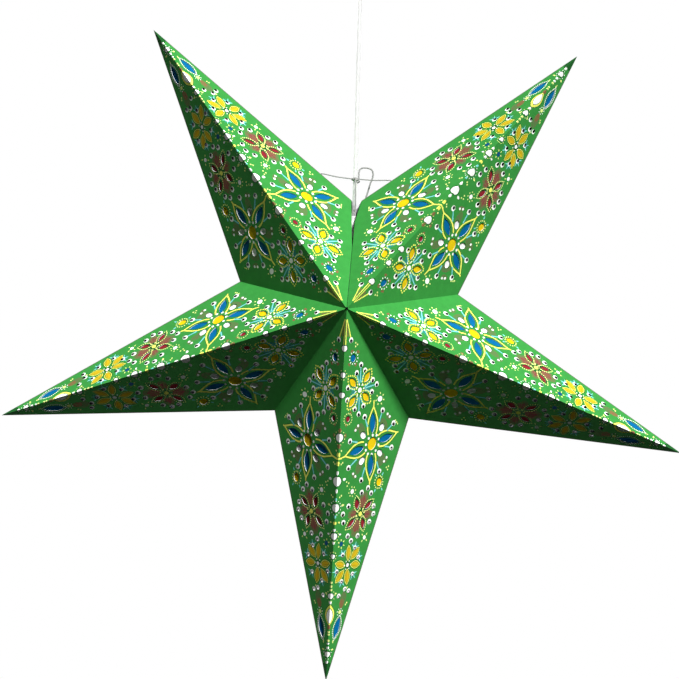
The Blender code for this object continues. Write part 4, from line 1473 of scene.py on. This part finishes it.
def build_ceiling(white, ceramic, brass):
    """The plate, the cup under it, the cord grip in the cup's hole and the terminal block."""
    low, high, middle = node_box("ceiling_plate")
    curve = bpy.data.curves.new("plate_outline", "CURVE")
    curve.dimensions = "2D"
    curve.fill_mode = "BOTH"
    curve.bevel_depth = PLATE_BEVEL
    curve.offset = -PLATE_BEVEL
    curve.extrude = (high.z - low.z) / 2 - PLATE_BEVEL
    for x, y, radius in PLATE_RINGS:
        spline = curve.splines.new("POLY")
        spline.points.add(TURNED_STEPS - 1)
        spline.use_cyclic_u = True
        for i, point in enumerate(spline.points):
            angle = math.tau * i / TURNED_STEPS
            point.co = ((x + radius * math.cos(angle)) / MILLI,
                        (y + radius * math.sin(angle)) / MILLI, 0, 1)
    outline = add_object("plate_outline", curve)
    bm = bmesh.new()
    bm.from_mesh(bpy.data.meshes.new_from_object(outline))
    bpy.data.objects.remove(outline)
    bmesh.ops.translate(bm, verts=bm.verts, vec=middle)
    pieces = [add_fitting("ceiling_plate_disc", "ceiling_fitting", "ceiling_plate",
                          bm, [white])]
    for name, node, corners, joined in (
        ("ceiling_cup_shell", "ceiling_cup", CEILING_CUP, True),
        ("ceiling_cord_nipple", "ceiling_cord_grip", CEILING_GRIP, False),
    ):
        pieces.append(add_turned(name, "ceiling_fitting", node,
                                 rounded(corners), ((white, 0),), None, joined))
    return pieces + [build_terminal(ceramic, brass)]


def build_terminal(ceramic, brass):
    """The terminal block: three bodies in a row on a thinner web, with two screws on each."""
    low, high, middle = node_box("terminal_block")
    size = high - low
    bm = bmesh.new()
    for way, share in ((-1, 1), (0, 1), (1, 1), (0, TERMINAL_WEB)):
        span = size.x if share < 1.0 else size.x * TERMINAL_WIDE
        scale = Matrix.Diagonal((span, size.y * share, (size.z - SCREW_HEAD) * share, 1))
        place = middle + Vector((way * (size.x - span) / 2, 0, SCREW_HEAD / 2))
        bmesh.ops.create_cube(bm, size=1, matrix=Matrix.Translation(place) @ scale)
    bmesh.ops.bevel(bm, geom=bm.edges[:], offset=TERMINAL_BEVEL, segments=BEVEL_STEPS,
                    affect="EDGES", profile=0.5)
    plain = len(bm.faces)
    for way in (-1, 0, 1):
        for side in (-1, 1):
            place = Vector((middle.x + way * size.x * (1.0 - TERMINAL_WIDE) / 2,
                            middle.y + side * size.y / 4, low.z + SCREW_HEAD))
            bmesh.ops.create_cone(bm, cap_ends=True, segments=SCREW_STEPS,
                                  radius1=SCREW_RADIUS, radius2=SCREW_RADIUS,
                                  depth=2 * SCREW_HEAD, matrix=Matrix.Translation(place))
    bm.faces.ensure_lookup_table()
    for face in bm.faces[plain:]:
        face.material_index = 1
    return add_fitting("terminal_block_body", "ceiling_fitting", "terminal_block",
                       bm, [ceramic, brass])


def build_lampholder(white, ceramic, brass):
    for name, node, slot, corners, material in (
        ("lampholder_cord_nipple", "lampholder_cord_grip", "holder_plastic", HOLDER_GRIP, white),
        ("lampholder_ribbed_shell", "lampholder_shell", "holder_plastic", HOLDER_SHELL, white),
        ("lampholder_core_block", "lampholder_core", "block_plastic", HOLDER_CORE, ceramic),
        ("lampholder_contact_stud", "lampholder_centre_contact", "brass", HOLDER_CONTACT, brass),
    ):
        add_turned(name, "lamp_drop", node, rounded(corners), ((material, 0),), ribs,
                   False, RIB_STEPS)
    rows = thread_rows(SLEEVE_RADIUS, 0, SLEEVE_LENGTH)
    rows += thread_rows(SLEEVE_RADIUS - SLEEVE_SHEET, 0, SLEEVE_LENGTH)[::-1]
    add_turned("lampholder_threaded_sleeve", "lamp_drop", "lampholder_screw_sleeve",
               rows, ((brass, 0),), lambda *at: SLEEVE_THREAD * thread(*at), True, THREAD_STEPS)


def build_bulb(brass, tin, glass):
    add_turned("bulb_solder_tip", "bulb", "bulb_tip_contact", rounded(BULB_TIP),
               ((tin, 0),))
    rows = rounded(BULB_CAP_TOP) + thread_rows(CAP_RADIUS, THREAD_TOP, THREAD_BOTTOM)
    looks = ((look("cap_insulator"), CAP_INSULATOR), (brass, 0))
    add_turned("bulb_threaded_cap", "bulb", "bulb_cap", rows + rounded(BULB_CAP_END),
               looks, thread, False, THREAD_STEPS)
    outside, inside = (bulb_rows(wall) for wall in (0, BULB_WALL))
    add_turned("bulb_clear_glass", "bulb", "bulb_glass", outside + inside[::-1],
               ((glass, 0),), None, True)
    _, high, middle = node_box("bulb_filament")
    middle.z = high.z
    for way, side in ((-1, "left"), (1, "right")):
        lead, path = (smooth_curve([middle + Vector((way * x, 0, -depth)) / MILLI
                                    for x, depth in wire], pieces)
                      for wire, pieces in ((LEAD_WIRE, LEAD_PIECES), (FILAMENT, FILAMENT_PIECES)))
        coil = []
        for i, place in enumerate(path):
            angle = math.tau * COIL_TURNS * i / len(path)
            coil.append(place + COIL_RADIUS * Vector((0, math.cos(angle), math.sin(angle))))
        for part, *tube in (("lead", lead, LEAD_DIAMETER, tin, LEAD_SIDES),
                            ("coil", coil, COIL_WIRE, tin, COIL_SIDES)):
            add_tube(f"bulb_{side}_{part}", "bulb", "bulb_filament", "tinned_metal", *tube)


def bulb_rows(wall):
    """The glass from its open neck to its bottom, offset inwards, as radius and depth."""
    neck, wide = BULB_NECK - wall, BULB_RADIUS - wall
    rows = [Vector((neck, 0))]
    for i in range(BULB_ROWS + 1):
        share = i / BULB_ROWS
        ease = share * share * (3.0 - 2.0 * share)
        rows.append(Vector((neck + (wide - neck) * ease,
                            BULB_FLARE + (BULB_MIDDLE - BULB_FLARE) * share)))
    for i in range(1, BULB_ROWS + 1):
        angle = math.tau / 4 * i / BULB_ROWS
        rows.append(Vector((wide * math.cos(angle) if i < BULB_ROWS else 0,
                            BULB_MIDDLE + wide * math.sin(angle))))
    return rows


def build_fittings():
    """All the hard pieces. The ceiling's are returned, as what the cable ends in."""
    white, ceramic, brass, tin = map(look, ("white_plastic", "holder_core", "brass", "tin"))
    build_lampholder(white, ceramic, brass)
    build_bulb(brass, tin, glass_material())
    return build_ceiling(white, ceramic, brass)


def floor_material():
    """Pale paint with the lantern's shadow on it, fading into the white backdrop further out.
    It gives little light back to the lantern."""
    material, paint = new_material("floor_paint", FLOOR_COLOUR, FLOOR_ROUGHNESS)
    tree = material.node_tree
    place = add_node(tree, "TexCoord", {}).outputs["Object"]
    length = add_node(tree, "VectorMath", {0: place}, "LENGTH").outputs["Value"]
    fade = add_node(tree, "MapRange", {"Value": length, "From Min": FLOOR_FADE_START,
                                       "From Max": FLOOR_SIDE})
    white = add_node(tree, "Emission", {})
    by_place = add_node(tree, "MixShader", {"Fac": fade, 1: paint, 2: white})
    dim = add_node(tree, "BsdfDiffuse", {"Color": FLOOR_DIM})
    by_ray = add_node(tree, "MixShader", {"Fac": seen_directly(tree), 1: dim, 2: by_place})
    set_inputs(tree.nodes["Material Output"], {"Surface": by_ray})
    return material


def build_floor():
    places = []
    for i in range(FLOOR_POINTS):
        angle = math.tau * i / FLOOR_POINTS
        places.append((FLOOR_SIDE * math.cos(angle), FLOOR_SIDE * math.sin(angle), 0))
    mesh = bpy.data.meshes.new("floor")
    mesh.from_pydata(places, [], [list(range(FLOOR_POINTS))])
    mesh.materials.append(floor_material())
    add_object("floor", mesh, Matrix.Translation((0, 0, FLOOR_HEIGHT)))


make_camera()
build_cable(build_fittings())
build_strings()
make_world()
for sun, values in SUNS.items():
    make_sun(sun, *values)
build_floor()
build_star()
bpy.context.scene.view_settings.view_transform = "Standard"
